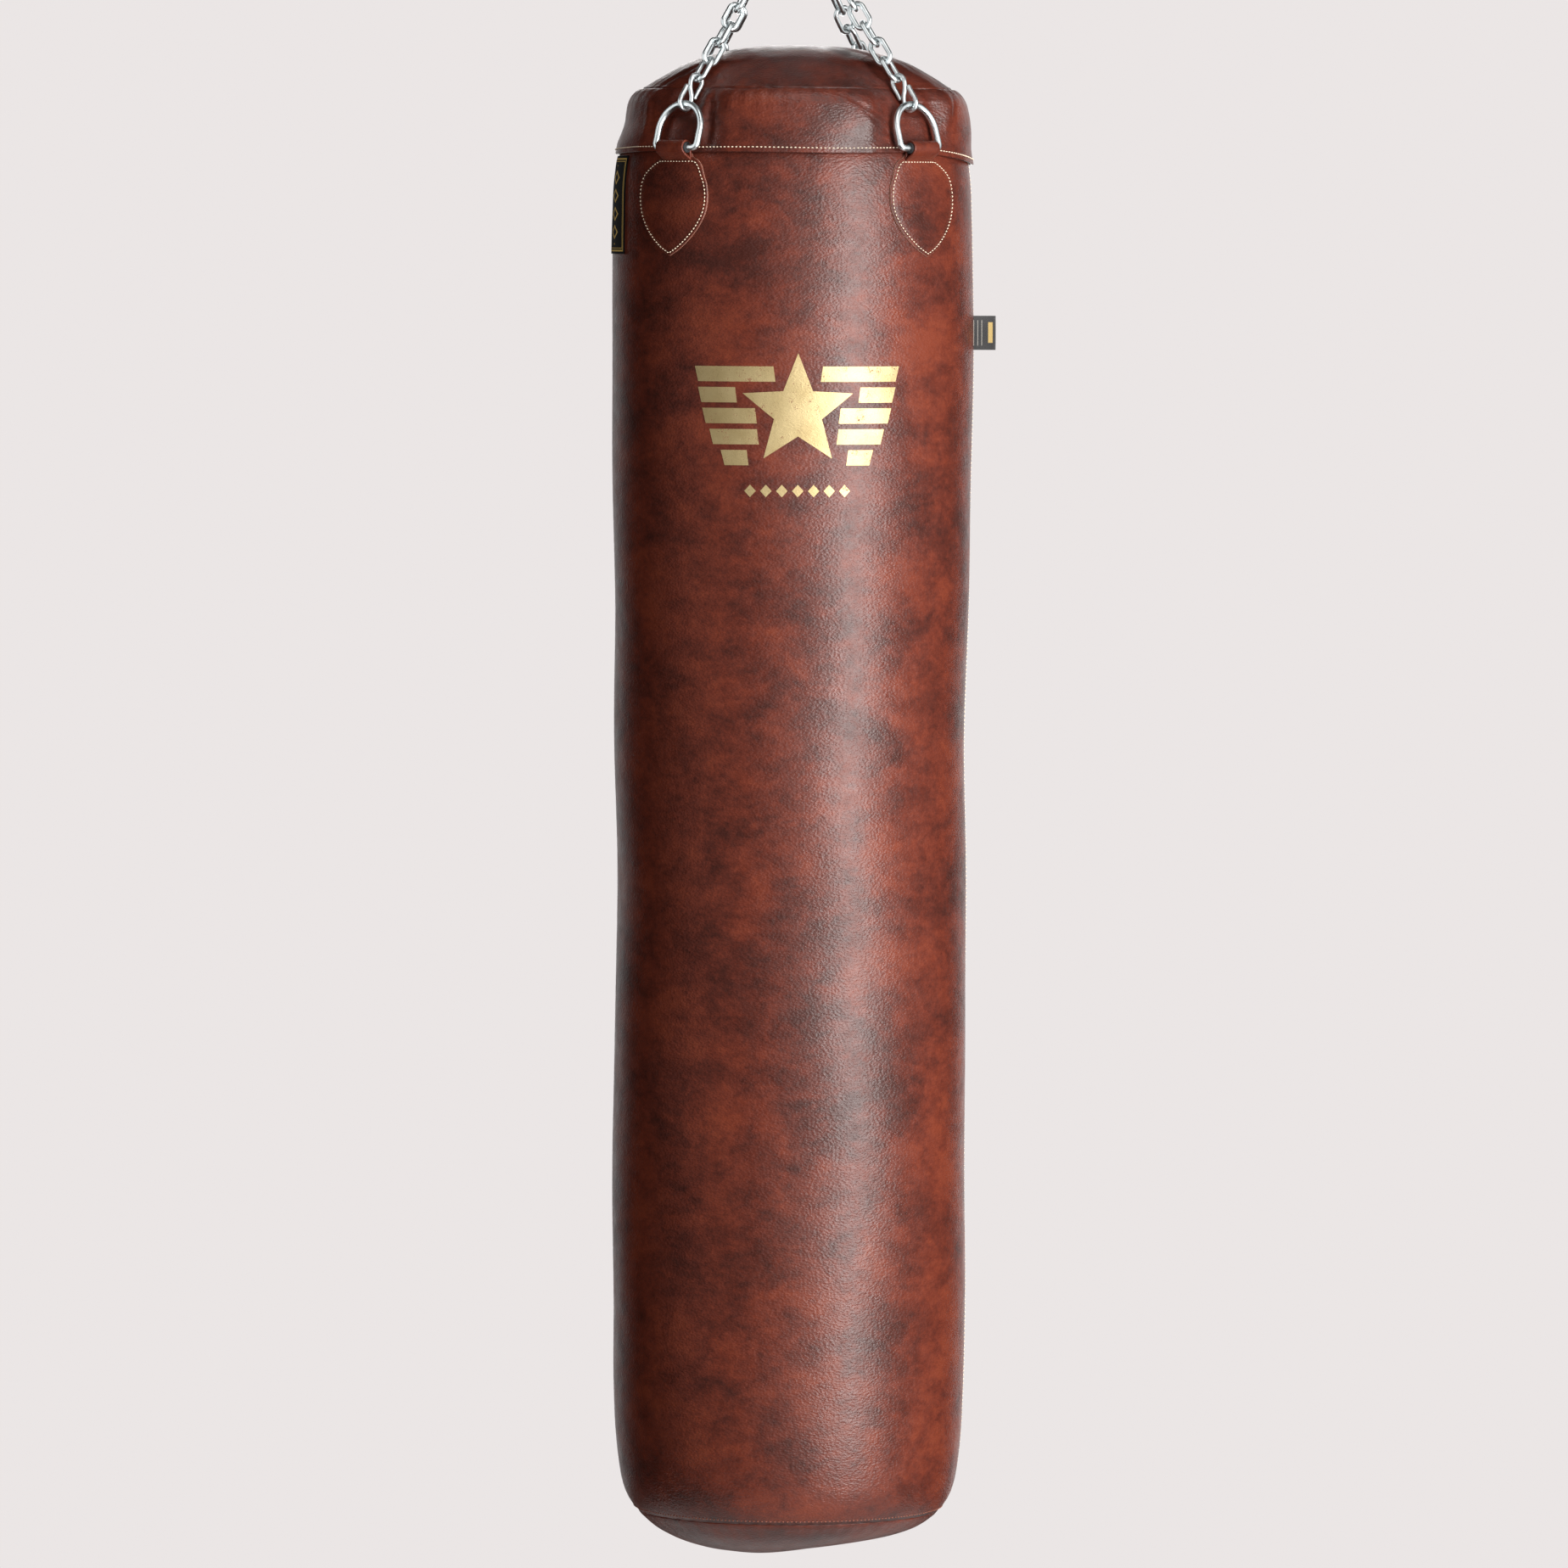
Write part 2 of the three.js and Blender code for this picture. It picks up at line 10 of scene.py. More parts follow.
import bmesh
import bpy
import numpy as np
from mathutils import Matrix, Vector


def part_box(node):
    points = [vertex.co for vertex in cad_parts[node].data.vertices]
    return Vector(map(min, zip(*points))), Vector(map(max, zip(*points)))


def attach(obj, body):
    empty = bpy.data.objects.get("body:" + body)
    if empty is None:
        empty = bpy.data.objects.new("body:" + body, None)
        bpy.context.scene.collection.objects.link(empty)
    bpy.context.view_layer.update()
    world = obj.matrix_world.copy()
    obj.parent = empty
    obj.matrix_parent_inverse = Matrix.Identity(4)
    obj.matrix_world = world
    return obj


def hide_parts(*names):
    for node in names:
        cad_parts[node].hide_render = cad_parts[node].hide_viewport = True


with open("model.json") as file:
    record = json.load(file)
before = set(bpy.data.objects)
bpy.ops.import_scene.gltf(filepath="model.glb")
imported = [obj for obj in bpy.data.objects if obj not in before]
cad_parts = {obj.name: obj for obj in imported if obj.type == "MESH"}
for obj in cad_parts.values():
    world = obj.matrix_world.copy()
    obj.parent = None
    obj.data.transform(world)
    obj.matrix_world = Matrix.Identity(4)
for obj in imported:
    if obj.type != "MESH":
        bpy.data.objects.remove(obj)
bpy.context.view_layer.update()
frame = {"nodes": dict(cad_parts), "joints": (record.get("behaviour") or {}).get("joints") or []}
scene = bpy.context.scene

# ---- Studio ----
# The bag hangs in a pale room, over a round painted floor. A tall softbox stands to its right and
# a weak one before it, and three behind it light its edges and its back. The camera is far away, a
# little above the bag's middle.
bag_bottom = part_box("bottom_panel")[0].z
VIEW_HEIGHT = 1.563
CAMERA_AWAY = 11.0
CAMERA_HEIGHT = 1.34
AIM_HEIGHT = 0.7665
AIM_ASIDE = -0.0066
LOOKS_FROM = math.radians(-2.1)
HANG_LEAN = 0.0036
sideways = Vector((math.cos(LOOKS_FROM), math.sin(LOOKS_FROM), 0))
aim = sideways * AIM_ASIDE + Vector((0, 0, bag_bottom + AIM_HEIGHT))
eye = aim + CAMERA_AWAY * Vector((math.sin(LOOKS_FROM), -math.cos(LOOKS_FROM), 0))
eye.z = bag_bottom + CAMERA_HEIGHT
camera_data = bpy.data.cameras.new("camera")
camera_data.sensor_width = 36
camera_data.lens = 36 * (aim - eye).length / VIEW_HEIGHT
camera_data.clip_end = 60
camera = bpy.data.objects.new("camera", camera_data)
camera.matrix_world = (
    Matrix.Translation(eye)
    @ (aim - eye).to_track_quat("-Z", "Y").to_matrix().to_4x4()
    @ Matrix.Rotation(HANG_LEAN, 4, "Z")
)
scene.collection.objects.link(camera)
scene.camera = camera
scene.view_settings.view_transform = "Standard"

world = bpy.data.worlds.new("room")
world.use_nodes = True
world.node_tree.nodes["Background"].inputs["Color"].default_value = (0.83, 0.79, 0.785, 1)
world.node_tree.nodes["Background"].inputs["Strength"].default_value = 1.0
world.cycles_visibility.diffuse = False
world.cycles_visibility.glossy = False
scene.world = world


def softbox(name, azimuth, distance, width, height, power, centre=0.75, colour=(1, 1, 1), look=None):
    """A rectangular light round the bag's axis; azimuth is in degrees to the right of the front. It
    faces the axis level with its own centre, or at another height above the bag's bottom."""
    light = bpy.data.lights.new(name, "AREA")
    light.shape = "RECTANGLE"
    light.size, light.size_y = width, height
    light.energy = power
    light.color = colour
    a = math.radians(azimuth)
    place = Vector((distance * math.sin(a), -distance * math.cos(a), bag_bottom + centre))
    lamp = bpy.data.objects.new(name, light)
    lamp.location = place
    lamp.visible_camera = False
    target = Vector((0, 0, bag_bottom + (centre if look is None else look)))
    lamp.rotation_euler = (target - place).to_track_quat("-Z", "Y").to_euler()
    scene.collection.objects.link(lamp)
    return lamp


softbox("key_softbox", 38, 2.6, 0.95, 3.1, 146, centre=0.98, colour=(1, 0.975, 0.96))
softbox("front_softbox", 2, 3.4, 1.5, 3.0, 15, centre=0.9, colour=(1, 0.97, 0.95))
softbox("left_edge_softbox", -158, 3.2, 1.6, 3.2, 12, centre=0.9)
softbox("right_edge_softbox", 158, 3.2, 1.6, 3.2, 20, centre=0.9)
softbox("top_softbox", 12, 1.1, 1.5, 1.5, 17, centre=3.5, colour=(1, 0.97, 0.95), look=1.4)
softbox("back_softbox", 180, 3.6, 0.9, 3.2, 60, centre=1.1, colour=(1, 0.975, 0.96))
for bounce in (softbox("right_bounce", 78, 2.6, 1.6, 2.8, 13, centre=0.9, colour=(1, 0.97, 0.95)),
               softbox("left_bounce", -62, 2.6, 1.6, 2.8, 20, centre=0.9, colour=(1, 0.95, 0.92))):
    bounce.visible_glossy = False


class Value:
    """A number or colour that changes over a surface. Arithmetic on it adds Math nodes."""

    def __init__(self, finish, socket):
        self.finish, self.socket = finish, socket

    def math(self, operation, *others):
        terms = dict(enumerate([self, *others]))
        return self.finish.node("ShaderNodeMath", {"operation": operation}, terms)

    def reflected(self, operation, other):
        return self.finish.node("ShaderNodeMath", {"operation": operation}, {0: other, 1: self})

    def __add__(self, other):
        return self.math("ADD", other)

    def __sub__(self, other):
        return self.math("SUBTRACT", other)

    def __mul__(self, other):
        return self.math("MULTIPLY", other)

    def __truediv__(self, other):
        return self.math("DIVIDE", other)

    def __rsub__(self, other):
        return self.reflected("SUBTRACT", other)

    __radd__ = __add__
    __rmul__ = __mul__


class Finish:
    """The node tree of one material, built through one method that adds any node."""

    def __init__(self, name):
        self.material = bpy.data.materials.new(name)
        self.material.use_nodes = True
        self.tree = self.material.node_tree
        self.tree.nodes.clear()
        self.place = self.node("ShaderNodeTexCoord", output="Object")

    def node(self, kind, settings=None, sockets=None, output=0):
        """Adds a node: first its settings, then the values or the links of its sockets."""
        made = self.tree.nodes.new(kind)
        for key, value in (settings or {}).items():
            if key == "stops":
                elements = made.color_ramp.elements
                while len(elements) < len(value):
                    elements.new(1.0)
                for element, (position, colour) in zip(elements, value):
                    element.position = position
                    element.color = (*colour, 1.0)
            else:
                setattr(made, key, value)
        for key, value in (sockets or {}).items():
            if isinstance(value, Value):
                self.tree.links.new(value.socket, made.inputs[key])
            elif isinstance(value, tuple) and made.inputs[key].type == "RGBA":
                made.inputs[key].default_value = (*value, 1.0)
            else:
                made.inputs[key].default_value = value
        return Value(self, made.outputs[output])

    def noise(self, scale, detail=4, roughness=0.55, distortion=0.0, place=None):
        """Cloudy noise around 0.5, with features one over scale of a metre wide."""
        sockets = {"Vector": place or self.place, "Scale": scale, "Detail": detail,
                   "Roughness": roughness, "Distortion": distortion}
        return self.node("ShaderNodeTexNoise", None, sockets)

    def step(self, value, low, high):
        """0 below low and 1 above high, with a smooth rise between."""
        return self.node("ShaderNodeMapRange", {"interpolation_type": "SMOOTHSTEP"},
                         {"Value": value, "From Min": low, "From Max": high})

    def ramp(self, value, stops):
        return self.node("ShaderNodeValToRGB", {"stops": stops}, {0: value})

    def blend(self, share, one, other, mode="MIX"):
        return self.node("ShaderNodeMix", {"data_type": "RGBA", "blend_type": mode},
                         {0: share, 6: one, 7: other}, output=2)

    def bump(self, height, distance, strength=1.0, after=None):
        sockets = {"Height": height, "Distance": distance, "Strength": strength}
        if after:
            sockets["Normal"] = after
        return self.node("ShaderNodeBump", None, sockets)

    def surface(self, **sockets):
        """Ends the tree with the shader; each keyword is a socket's name with _ for its spaces."""
        named = {key.replace("_", " "): value for key, value in sockets.items()}
        shader = self.node("ShaderNodeBsdfPrincipled", None, named)
        end = self.tree.nodes.new("ShaderNodeOutputMaterial")
        self.tree.links.new(shader.socket, end.inputs["Surface"])
        return self.material


def grid_faces(rows, columns, wrap_rows, wrap_columns):
    """The quads of a grid, as vertex numbers; a wrapped direction joins its end to its start."""
    r = np.arange(rows if wrap_rows else rows - 1)[:, None]
    c = np.arange(columns if wrap_columns else columns - 1)[None, :]
    right, below = (c + 1) % columns, (r + 1) % rows
    quads = [r * columns + c, r * columns + right, below * columns + right, below * columns + c]
    return np.stack(np.broadcast_arrays(*quads), -1).reshape(-1, 4)


def surface(name, points, material, wrap_rows=False, wrap_columns=False, uv=None, sharp=None):
    """A smooth mesh through a grid of points, rows by columns by 3. Rows that shrink to a point
    become poles. uv holds two numbers for each point; sharp is the angle of a crisp edge."""
    rows, columns = points.shape[:2]
    faces = grid_faces(rows, columns, wrap_rows, wrap_columns)
    mesh = bpy.data.meshes.new(name)
    mesh.from_pydata(points.reshape(-1, 3).tolist(), [], faces.tolist())
    if uv is not None:
        layer = mesh.uv_layers.new(name="weave")
        layer.data.foreach_set("uv", uv.reshape(-1, 2)[faces.ravel()].ravel().astype(np.float32))
    return finished(name, mesh, material, sharp)


def finished(name, mesh, material, sharp=None):
    """Closes the poles of a mesh, turns its faces outwards and makes its object."""
    shape = bmesh.new()
    shape.from_mesh(mesh)
    bmesh.ops.remove_doubles(shape, verts=shape.verts, dist=2e-6)
    bmesh.ops.dissolve_degenerate(shape, edges=shape.edges, dist=1e-6)
    bmesh.ops.recalc_face_normals(shape, faces=shape.faces)
    shape.to_mesh(mesh)
    shape.free()
    mesh.shade_smooth()
    if sharp:
        mesh.set_sharp_from_angle(angle=sharp)
    mesh.materials.append(material)
    made = bpy.data.objects.new(name, mesh)
    scene.collection.objects.link(made)
    return made


def placed(piece, body, slot, *nodes):
    """Gives a piece its body and hides the CAD nodes that it stands for. Its slot is not used."""
    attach(piece, body)
    if nodes:
        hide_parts(*nodes)
    return piece


def through(stations, count):
    """A smooth curve through a few stations, as evenly spaced points: each stretch is a cubic
    whose end slopes come from the neighbouring stations, measured along the chords."""
    stations = np.asarray(stations, float)
    along = np.r_[0, np.cumsum(np.linalg.norm(np.diff(stations, axis=0), axis=1))]
    slope = np.gradient(stations, along, axis=0)
    t = np.linspace(0, along[-1], count * 4)
    i = np.clip(np.searchsorted(along, t) - 1, 0, len(along) - 2)
    span = (along[i + 1] - along[i])[:, None]
    u = ((t - along[i]) / span[:, 0])[:, None]
    fine = ((2 * u**3 - 3 * u**2 + 1) * stations[i] + (u**3 - 2 * u**2 + u) * span * slope[i]
            + (3 * u**2 - 2 * u**3) * stations[i + 1] + (u**3 - u**2) * span * slope[i + 1])
    far = np.r_[0, np.cumsum(np.linalg.norm(np.diff(fine, axis=0), axis=1))]
    even = np.linspace(0, far[-1], count)
    return np.stack([np.interp(even, far, fine[:, k]) for k in range(fine.shape[1])], -1)


def floor_finish():
    """Matt pale paint, with the faint unevenness of a roller."""
    f = Finish("floor_paint")
    tone = f.ramp(f.noise(1.2, 2), [(0.3, (0.80, 0.765, 0.76)), (0.7, (0.82, 0.785, 0.78))])
    return f.surface(Base_Color=tone, Roughness=0.9, Emission_Color=tone, Emission_Strength=0.12)


# The floor: a round plate, from its middle out to a rounded rim and back under it.
FLOOR_BELOW_BAG = 0.55
floor_section = np.array([(0, 0), (0.4, 0), (0.8, 0), (1.09, 0), (1.1, -0.01), (1.1, -0.03), (0, -0.03)])
floor_turn = np.linspace(0, 2 * np.pi, 96, endpoint=False)[None, :]
floor_points = np.stack(np.broadcast_arrays(
    floor_section[:, :1] * np.cos(floor_turn), floor_section[:, :1] * np.sin(floor_turn),
    bag_bottom - FLOOR_BELOW_BAG + floor_section[:, 1:]), -1)
floor = surface("studio_floor", floor_points, floor_finish(), wrap_columns=True)
floor.visible_diffuse = False

# ---- Cover ----
# One wide panel of chrome-tanned leather, waxed and marbled by hand, rolled into a tube and sewn
# up along the right side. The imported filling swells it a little, more at the top than lower down.
bar_low, bar_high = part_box("webbing_front_left")
BAR_HEIGHT = (bar_low.z + bar_high.z) / 2
BAG_RADIUS = 0.175
LEATHER = 0.0026
SEAM_AZIMUTH = math.radians(90)


def leather(name, shade=1.0, shift=0.0, grain=1.0):
    """Marbled red-brown leather: clouds of dark wax over a warm base, and a pebbled grain. shade
    darkens it, shift moves its clouds and grain deepens its relief."""
    f = Finish(name)
    place = f.node("ShaderNodeMapping", None,
                   {"Vector": f.place, "Location": (shift, shift * 0.37, 0), "Scale": (0.9, 0.9, 1.35)})
    clouds = f.noise(11, 6, 0.62, 0.3, place)
    patches = f.noise(34, 6, 0.66, 0.25, place)
    mottle = f.noise(150, 5, 0.7, 0.2, place)
    tone = clouds * 0.44 + patches * 0.34 + mottle * 0.22
    thick_wax = (0.052, 0.014, 0.010)
    thin_wax = (0.086, 0.019, 0.012)
    dyed_hide = (0.127, 0.026, 0.0145)
    rubbed_hide = (0.170, 0.035, 0.0170)
    colour = f.ramp(tone, [(0.40, thick_wax), (0.465, thin_wax), (0.53, dyed_hide), (0.60, rubbed_hide)])
    colour = f.blend(1.0, colour, (shade, shade, shade), "MULTIPLY")
    wide = f.node("ShaderNodeMapping", None, {"Vector": f.place, "Scale": (1, 1, 1.7)})
    cells = f.node("ShaderNodeTexVoronoi", {"feature": "SMOOTH_F1"},
                   {"Vector": wide, "Scale": 330, "Smoothness": 0.55, "Randomness": 1.0})
    pores = f.node("ShaderNodeTexVoronoi", {"feature": "SMOOTH_F1"},
                   {"Vector": f.place, "Scale": 900, "Smoothness": 0.6, "Randomness": 0.9})
    creases = f.noise(260, 4, 0.6, 1.2, wide)
    wax = f.noise(60, 3, 0.5)
    normal = f.bump(cells * 0.62 + creases * 0.38, 0.0012 * grain, 0.50)
    normal = f.bump(pores, 0.0002 * grain, 0.35, normal)
    normal = f.bump(f.noise(30, 3, 0.5), 0.002, 0.20, normal)
    return f.surface(Base_Color=colour, Roughness=0.39 + (wax - 0.5) * 0.20 + (mottle - 0.5) * 0.14,
                     Normal=normal, IOR=1.47)


cover_leather = leather("marbled_leather")

# Radius against height above the ring bars, from the bottom seam to under the cap's skirt.
COVER_STATIONS = [
    (0.1505, -1.3570), (0.1545, -1.3530), (0.1610, -1.3430), (0.1660, -1.3290), (0.1695, -1.3090),
    (0.1722, -1.2840), (0.1742, -1.2400), (0.1746, -1.1500), (0.1750, -0.6500), (0.1762, -0.4200),
    (0.1783, -0.2500), (0.1787, -0.1500), (0.1780, -0.0700), (0.1760, -0.0280), (0.1728, -0.0080),
    (0.1697, 0.0000), (0.1660, 0.0110),
]
cover_curve = through(COVER_STATIONS, 420)


def swell(azimuth, height):
    """Soft hills and hollows of packed filling: a sum of slow waves round and along the bag."""
    waves = (0.0011 * np.sin(2 * azimuth + 7.5 * height + 0.4) + 0.0008 * np.sin(3 * azimuth - 12 * height)
             + 0.0007 * np.sin(azimuth + 19 * height + 2.0) + 0.0005 * np.sin(5 * azimuth + 27 * height))
    ends = np.clip((height + 1.33) / 0.2, 0, 1) * np.clip(-(height + 0.02) / 0.12, 0, 1)
    return waves * ends


def cover_radius(azimuth, height):
    """The leather's outer radius: the tube's own profile plus the swelling of the filling."""
    return np.interp(height, cover_curve[:, 1], cover_curve[:, 0]) + swell(azimuth, height)


def round_bag(azimuth, radius, height):
    """Points round the bag's axis. Azimuth 0 is the front and grows to the right; heights are
    measured from the ring bars."""
    azimuth, radius, height = np.broadcast_arrays(azimuth, radius, height)
    return np.stack([radius * np.sin(azimuth), -radius * np.cos(azimuth), BAR_HEIGHT + height], -1)


def shell(curve, thickness):
    """A closed section from an open curve of radius and height: out along it and back inside."""
    slope = np.gradient(curve, axis=0)
    slope /= np.linalg.norm(slope, axis=1)[:, None]
    inner = curve + thickness * np.stack([-slope[:, 1], slope[:, 0]], -1)
    inner[:, 0] = np.maximum(inner[:, 0], 0)
    return np.concatenate([curve, inner[::-1]])


def seam_groove(azimuth, width=0.0022, depth=0.0014):
    """How far the side seam pulls the leather in: a narrow bell-shaped valley at its azimuth, and
    a low ridge beside it where the seam's allowance lies underneath."""
    across = (azimuth - SEAM_AZIMUTH) * BAG_RADIUS
    valley = np.exp(-((across / width) ** 2))
    ridge = np.exp(-(((across - 0.006) / 0.004) ** 2))
    return depth * valley - 0.4 * depth * ridge


def turned_leather(name, curve, material, columns, relief, dropped=None, thickness=LEATHER):
    """A piece of leather turned round the bag's axis: its curve gives radius and height, relief is
    how far each point stands proud of that curve, and dropped is how far it hangs below it. The
    inner wall moves with the outer one."""
    section = shell(curve, thickness)
    azimuth = np.linspace(-np.pi, np.pi, columns, endpoint=False)[None, :]
    proud = relief(azimuth, curve[:, :1], curve[:, 1:])
    drop = dropped(azimuth, curve[:, :1], curve[:, 1:]) if dropped else 0 * proud
    proud = np.concatenate([proud, proud[::-1]])
    drop = np.concatenate([drop, drop[::-1]])
    radius = np.maximum(section[:, :1] + proud * np.clip(section[:, :1] / 0.03, 0, 1), 0)
    return surface(name, round_bag(azimuth, radius, section[:, 1:] - drop), material,
                   wrap_rows=True, wrap_columns=True)


def cover_relief(azimuth, radius, height):
    """The swelling of the filling, less the groove of the side seam."""
    return swell(azimuth, height) - seam_groove(azimuth)


cover = turned_leather("cover_panel_leather", through(COVER_STATIONS, 190), cover_leather, 250,
                       cover_relief)
placed(cover, "bag", "leather", "cover_panel")

# ---- Sewing ----
# Bonded polyester thread. Each stitch is a short bowed bead that dives into the leather at both
# ends, and the holes pull it slightly below the face.
STITCH_PITCH = 0.0042
STITCH_THICKNESS = 0.0012
STITCH_SHARE = 0.68


def thread(name, colour):
    """Twisted thread: fine stripes across each stitch's length, a dry sheen."""
    f = Finish(name)
    twist = f.noise(1800, 2, 0.5)
    tone = f.blend(f.step(twist, 0.35, 0.65), colour, tuple(c * 0.72 for c in colour))
    return f.surface(Base_Color=tone, Roughness=0.62, Normal=f.bump(twist, 0.0001, 0.6))


cream_thread = thread("cream_thread", (0.90, 0.76, 0.58))
brown_thread = thread("brown_thread", (0.30, 0.105, 0.065))


def stitches(name, path, outward, material, pitch=STITCH_PITCH, closed=False):
    """Beads along a path of points: each bead runs along the path, bows outwards by a parabola,
    and has a round section that thins towards both ends."""
    if closed:
        path, outward = np.r_[path, path[:1]], np.r_[outward, outward[:1]]
    far = np.r_[0, np.cumsum(np.linalg.norm(np.diff(path, axis=0), axis=1))]
    count = max(2, round(far[-1] / pitch))
    middle = (np.arange(count) + 0.5) * far[-1] / count
    half = 0.5 * STITCH_SHARE * far[-1] / count
    rows, sides = 5, 6
    u = np.linspace(-1, 1, rows)
    at = np.clip(middle[:, None] + half * u[None, :], 0, far[-1])
    spine = np.stack([np.interp(at, far, path[:, k]) for k in range(3)], -1)
    up = np.stack([np.interp(at, far, outward[:, k]) for k in range(3)], -1)
    up /= np.linalg.norm(up, axis=-1, keepdims=True)
    spine = spine + up * (STITCH_THICKNESS * (0.48 - 0.66 * u**2))[None, :, None]
    along = np.gradient(spine, axis=1)
    along /= np.linalg.norm(along, axis=-1, keepdims=True)
    side = np.cross(along, up)
    turn = np.arange(sides) * 2 * np.pi / sides
    width = (STITCH_THICKNESS / 2 * np.sqrt(np.clip(1.02 - u**4, 0, 1)))[None, :, None, None]
    turn = turn[None, None, :, None]
    ring = np.cos(turn) * side[:, :, None] + np.sin(turn) * up[:, :, None]
    points = spine[:, :, None] + width * ring
    one = grid_faces(rows, sides, False, True)
    caps = [np.arange(sides)[::-1], (rows - 1) * sides + np.arange(sides)]
    faces = [list(q) for k in range(count) for q in (one + k * rows * sides).tolist()]
    faces += [(cap + k * rows * sides).tolist() for k in range(count) for cap in caps]
    mesh = bpy.data.meshes.new(name)
    mesh.from_pydata(points.reshape(-1, 3).tolist(), [], faces)
    mesh.shade_smooth()
    mesh.materials.append(material)
    made = bpy.data.objects.new(name, mesh)
    scene.collection.objects.link(made)
    return placed(made, "bag", "leather")


def line_on_cover(azimuth, height, proud=0.0):
    """A path on the leather, with the outward direction at each of its points."""
    azimuth, height = np.broadcast_arrays(azimuth, height)
    path = round_bag(azimuth, cover_radius(azimuth, height) + proud, height)
    return path, round_bag(azimuth, 1.0, 0.0) * [1, 1, 0]


STITCHES_BESIDE_SEAM = 0.0058
seam_heights = np.linspace(-1.335, -0.012, 500)
seam_path, seam_out = line_on_cover(SEAM_AZIMUTH + STITCHES_BESIDE_SEAM / BAG_RADIUS, seam_heights)
stitches("side_seam_stitches", seam_path, seam_out, cream_thread)

# ---- Bottom ----
# A round panel of the same leather, sewn to the cover inside out and turned, so that its seam
# is a tight valley with the thread just showing.
BOTTOM_STATIONS = [
    (0.0, -1.3990), (0.041, -1.3957), (0.066, -1.3920), (0.090, -1.3880), (0.1176, -1.3800),
    (0.133, -1.3724), (0.1430, -1.3648), (0.1490, -1.3590), (0.1505, -1.3562),
]
RIM_PUCKERS = 58
SETTLED = 0.0055
BOTTOM_SEAM_RADIUS, BOTTOM_SEAM_HEIGHT = 0.1538, -1.3531


def bottom_relief(azimuth, radius, height):
    """Small puckers that radiate from the seam and fade towards the middle, over slow hills."""
    near_rim = np.clip((radius - 0.095) / 0.05, 0, 1) ** 2
    puckers = 0.0005 * np.sin(RIM_PUCKERS * azimuth + 3 * np.sin(4 * azimuth)) * near_rim
    return puckers + 0.0015 * np.sin(3 * azimuth + 30 * radius) * (radius / 0.15) * (1 - near_rim)


def bottom_drop(azimuth, radius, height):
    """The filling has settled to the left: the panel hangs lower there, and rides as much higher
    on the right, most of all halfway between its middle and its seam."""
    return -SETTLED * np.sin(azimuth) * np.sin(np.pi * np.clip(radius / 0.1500, 0, 1) ** 0.8)


bottom = turned_leather("bottom_panel_leather", through(BOTTOM_STATIONS, 60),
                        leather("bottom_leather", 0.92, 1.7), 240, bottom_relief, bottom_drop)
placed(bottom, "bag", "leather", "bottom_panel")
round_azimuth = np.linspace(-np.pi, np.pi, 720, endpoint=False)
bottom_line = round_bag(round_azimuth, BOTTOM_SEAM_RADIUS, BOTTOM_SEAM_HEIGHT)
bottom_out = round_bag(round_azimuth, 0.8, 0.0) * [1, 1, 0] + [0, 0, -0.6]
stitches("bottom_seam_stitches", bottom_line, bottom_out, brown_thread, closed=True)

# ---- Cap ----
# A skirt band laid over the cover's top edge and stitched along its raw hem, and a domed lid sewn
# into the skirt's upper edge. The rings and hooks press both in at four places.
BAR_RADIUS = Vector((bar_low.x + bar_high.x, bar_low.y + bar_high.y)).length / 2
FRONT_RING, BACK_RING = 42.5, 144
RING_AZIMUTHS = {"front_left": -FRONT_RING, "front_right": FRONT_RING,
                 "back_left": -BACK_RING, "back_right": BACK_RING}
D_LEAN = math.radians(17)
BACK_LEAN = math.radians(15.2)
D_WIRE = 0.0065


def smooth(value, low, high):
    """0 below low, 1 above high, with a smooth rise between them."""
    t = np.clip((value - low) / (high - low), 0, 1)
    return t * t * (3 - 2 * t)


def from_nearest_ring(azimuth):
    """The distance round the bag from the nearest ring's middle."""
    front = np.abs(np.abs(azimuth) - math.radians(FRONT_RING))
    back = np.abs(np.abs(azimuth) - math.radians(BACK_RING))
    return np.minimum(front, back) * BAG_RADIUS


def press(azimuth, radius, height):
    """How far the hardware presses the cap in: a wide flat under each D ring that leans with it,
    and a deeper narrow trough under the S hook and the first links."""
    across = from_nearest_ring(azimuth)
    ring_limit = BAR_RADIUS - height * math.tan(D_LEAN) - D_WIRE / 2 - 0.0046
    wide = np.where(height < 0.045, np.maximum(0, radius - ring_limit), 0.0082)
    wide = np.minimum(wide, radius / 8) * (1 - smooth(across, 0.030, 0.060))
    wide = wide * (1 - smooth(height, 0.058, 0.088))
    hook_limit = 0.1580 - 0.757 * (height - 0.0376)
    deep = np.maximum(0, radius - hook_limit - wide) * smooth(height, 0.016, 0.034)
    return wide + deep * (1 - smooth(across, 0.007, 0.032))


def crease(azimuth, height, start, end, depth, width):
    """A fold between two places on the bag: a bell-shaped valley with a low ridge on one side."""
    x, y = azimuth * BAG_RADIUS, height
    a = np.array([math.radians(start[0]) * BAG_RADIUS, start[1]])
    d = np.array([math.radians(end[0]) * BAG_RADIUS, end[1]]) - a
    length = math.hypot(*d)
    d = d / length
    along = ((x - a[0]) * d[0] + (y - a[1]) * d[1]) / length
    off = (x - a[0]) * -d[1] + (y - a[1]) * d[0]
    fade = smooth(along, -0.15, 0.2) * (1 - smooth(along, 0.75, 1.15))
    valley = np.exp(-((off / width) ** 2))
    ridge = np.exp(-(((off - 2 * width) / (1.4 * width)) ** 2))
    return fade * depth * (valley - 0.5 * ridge)


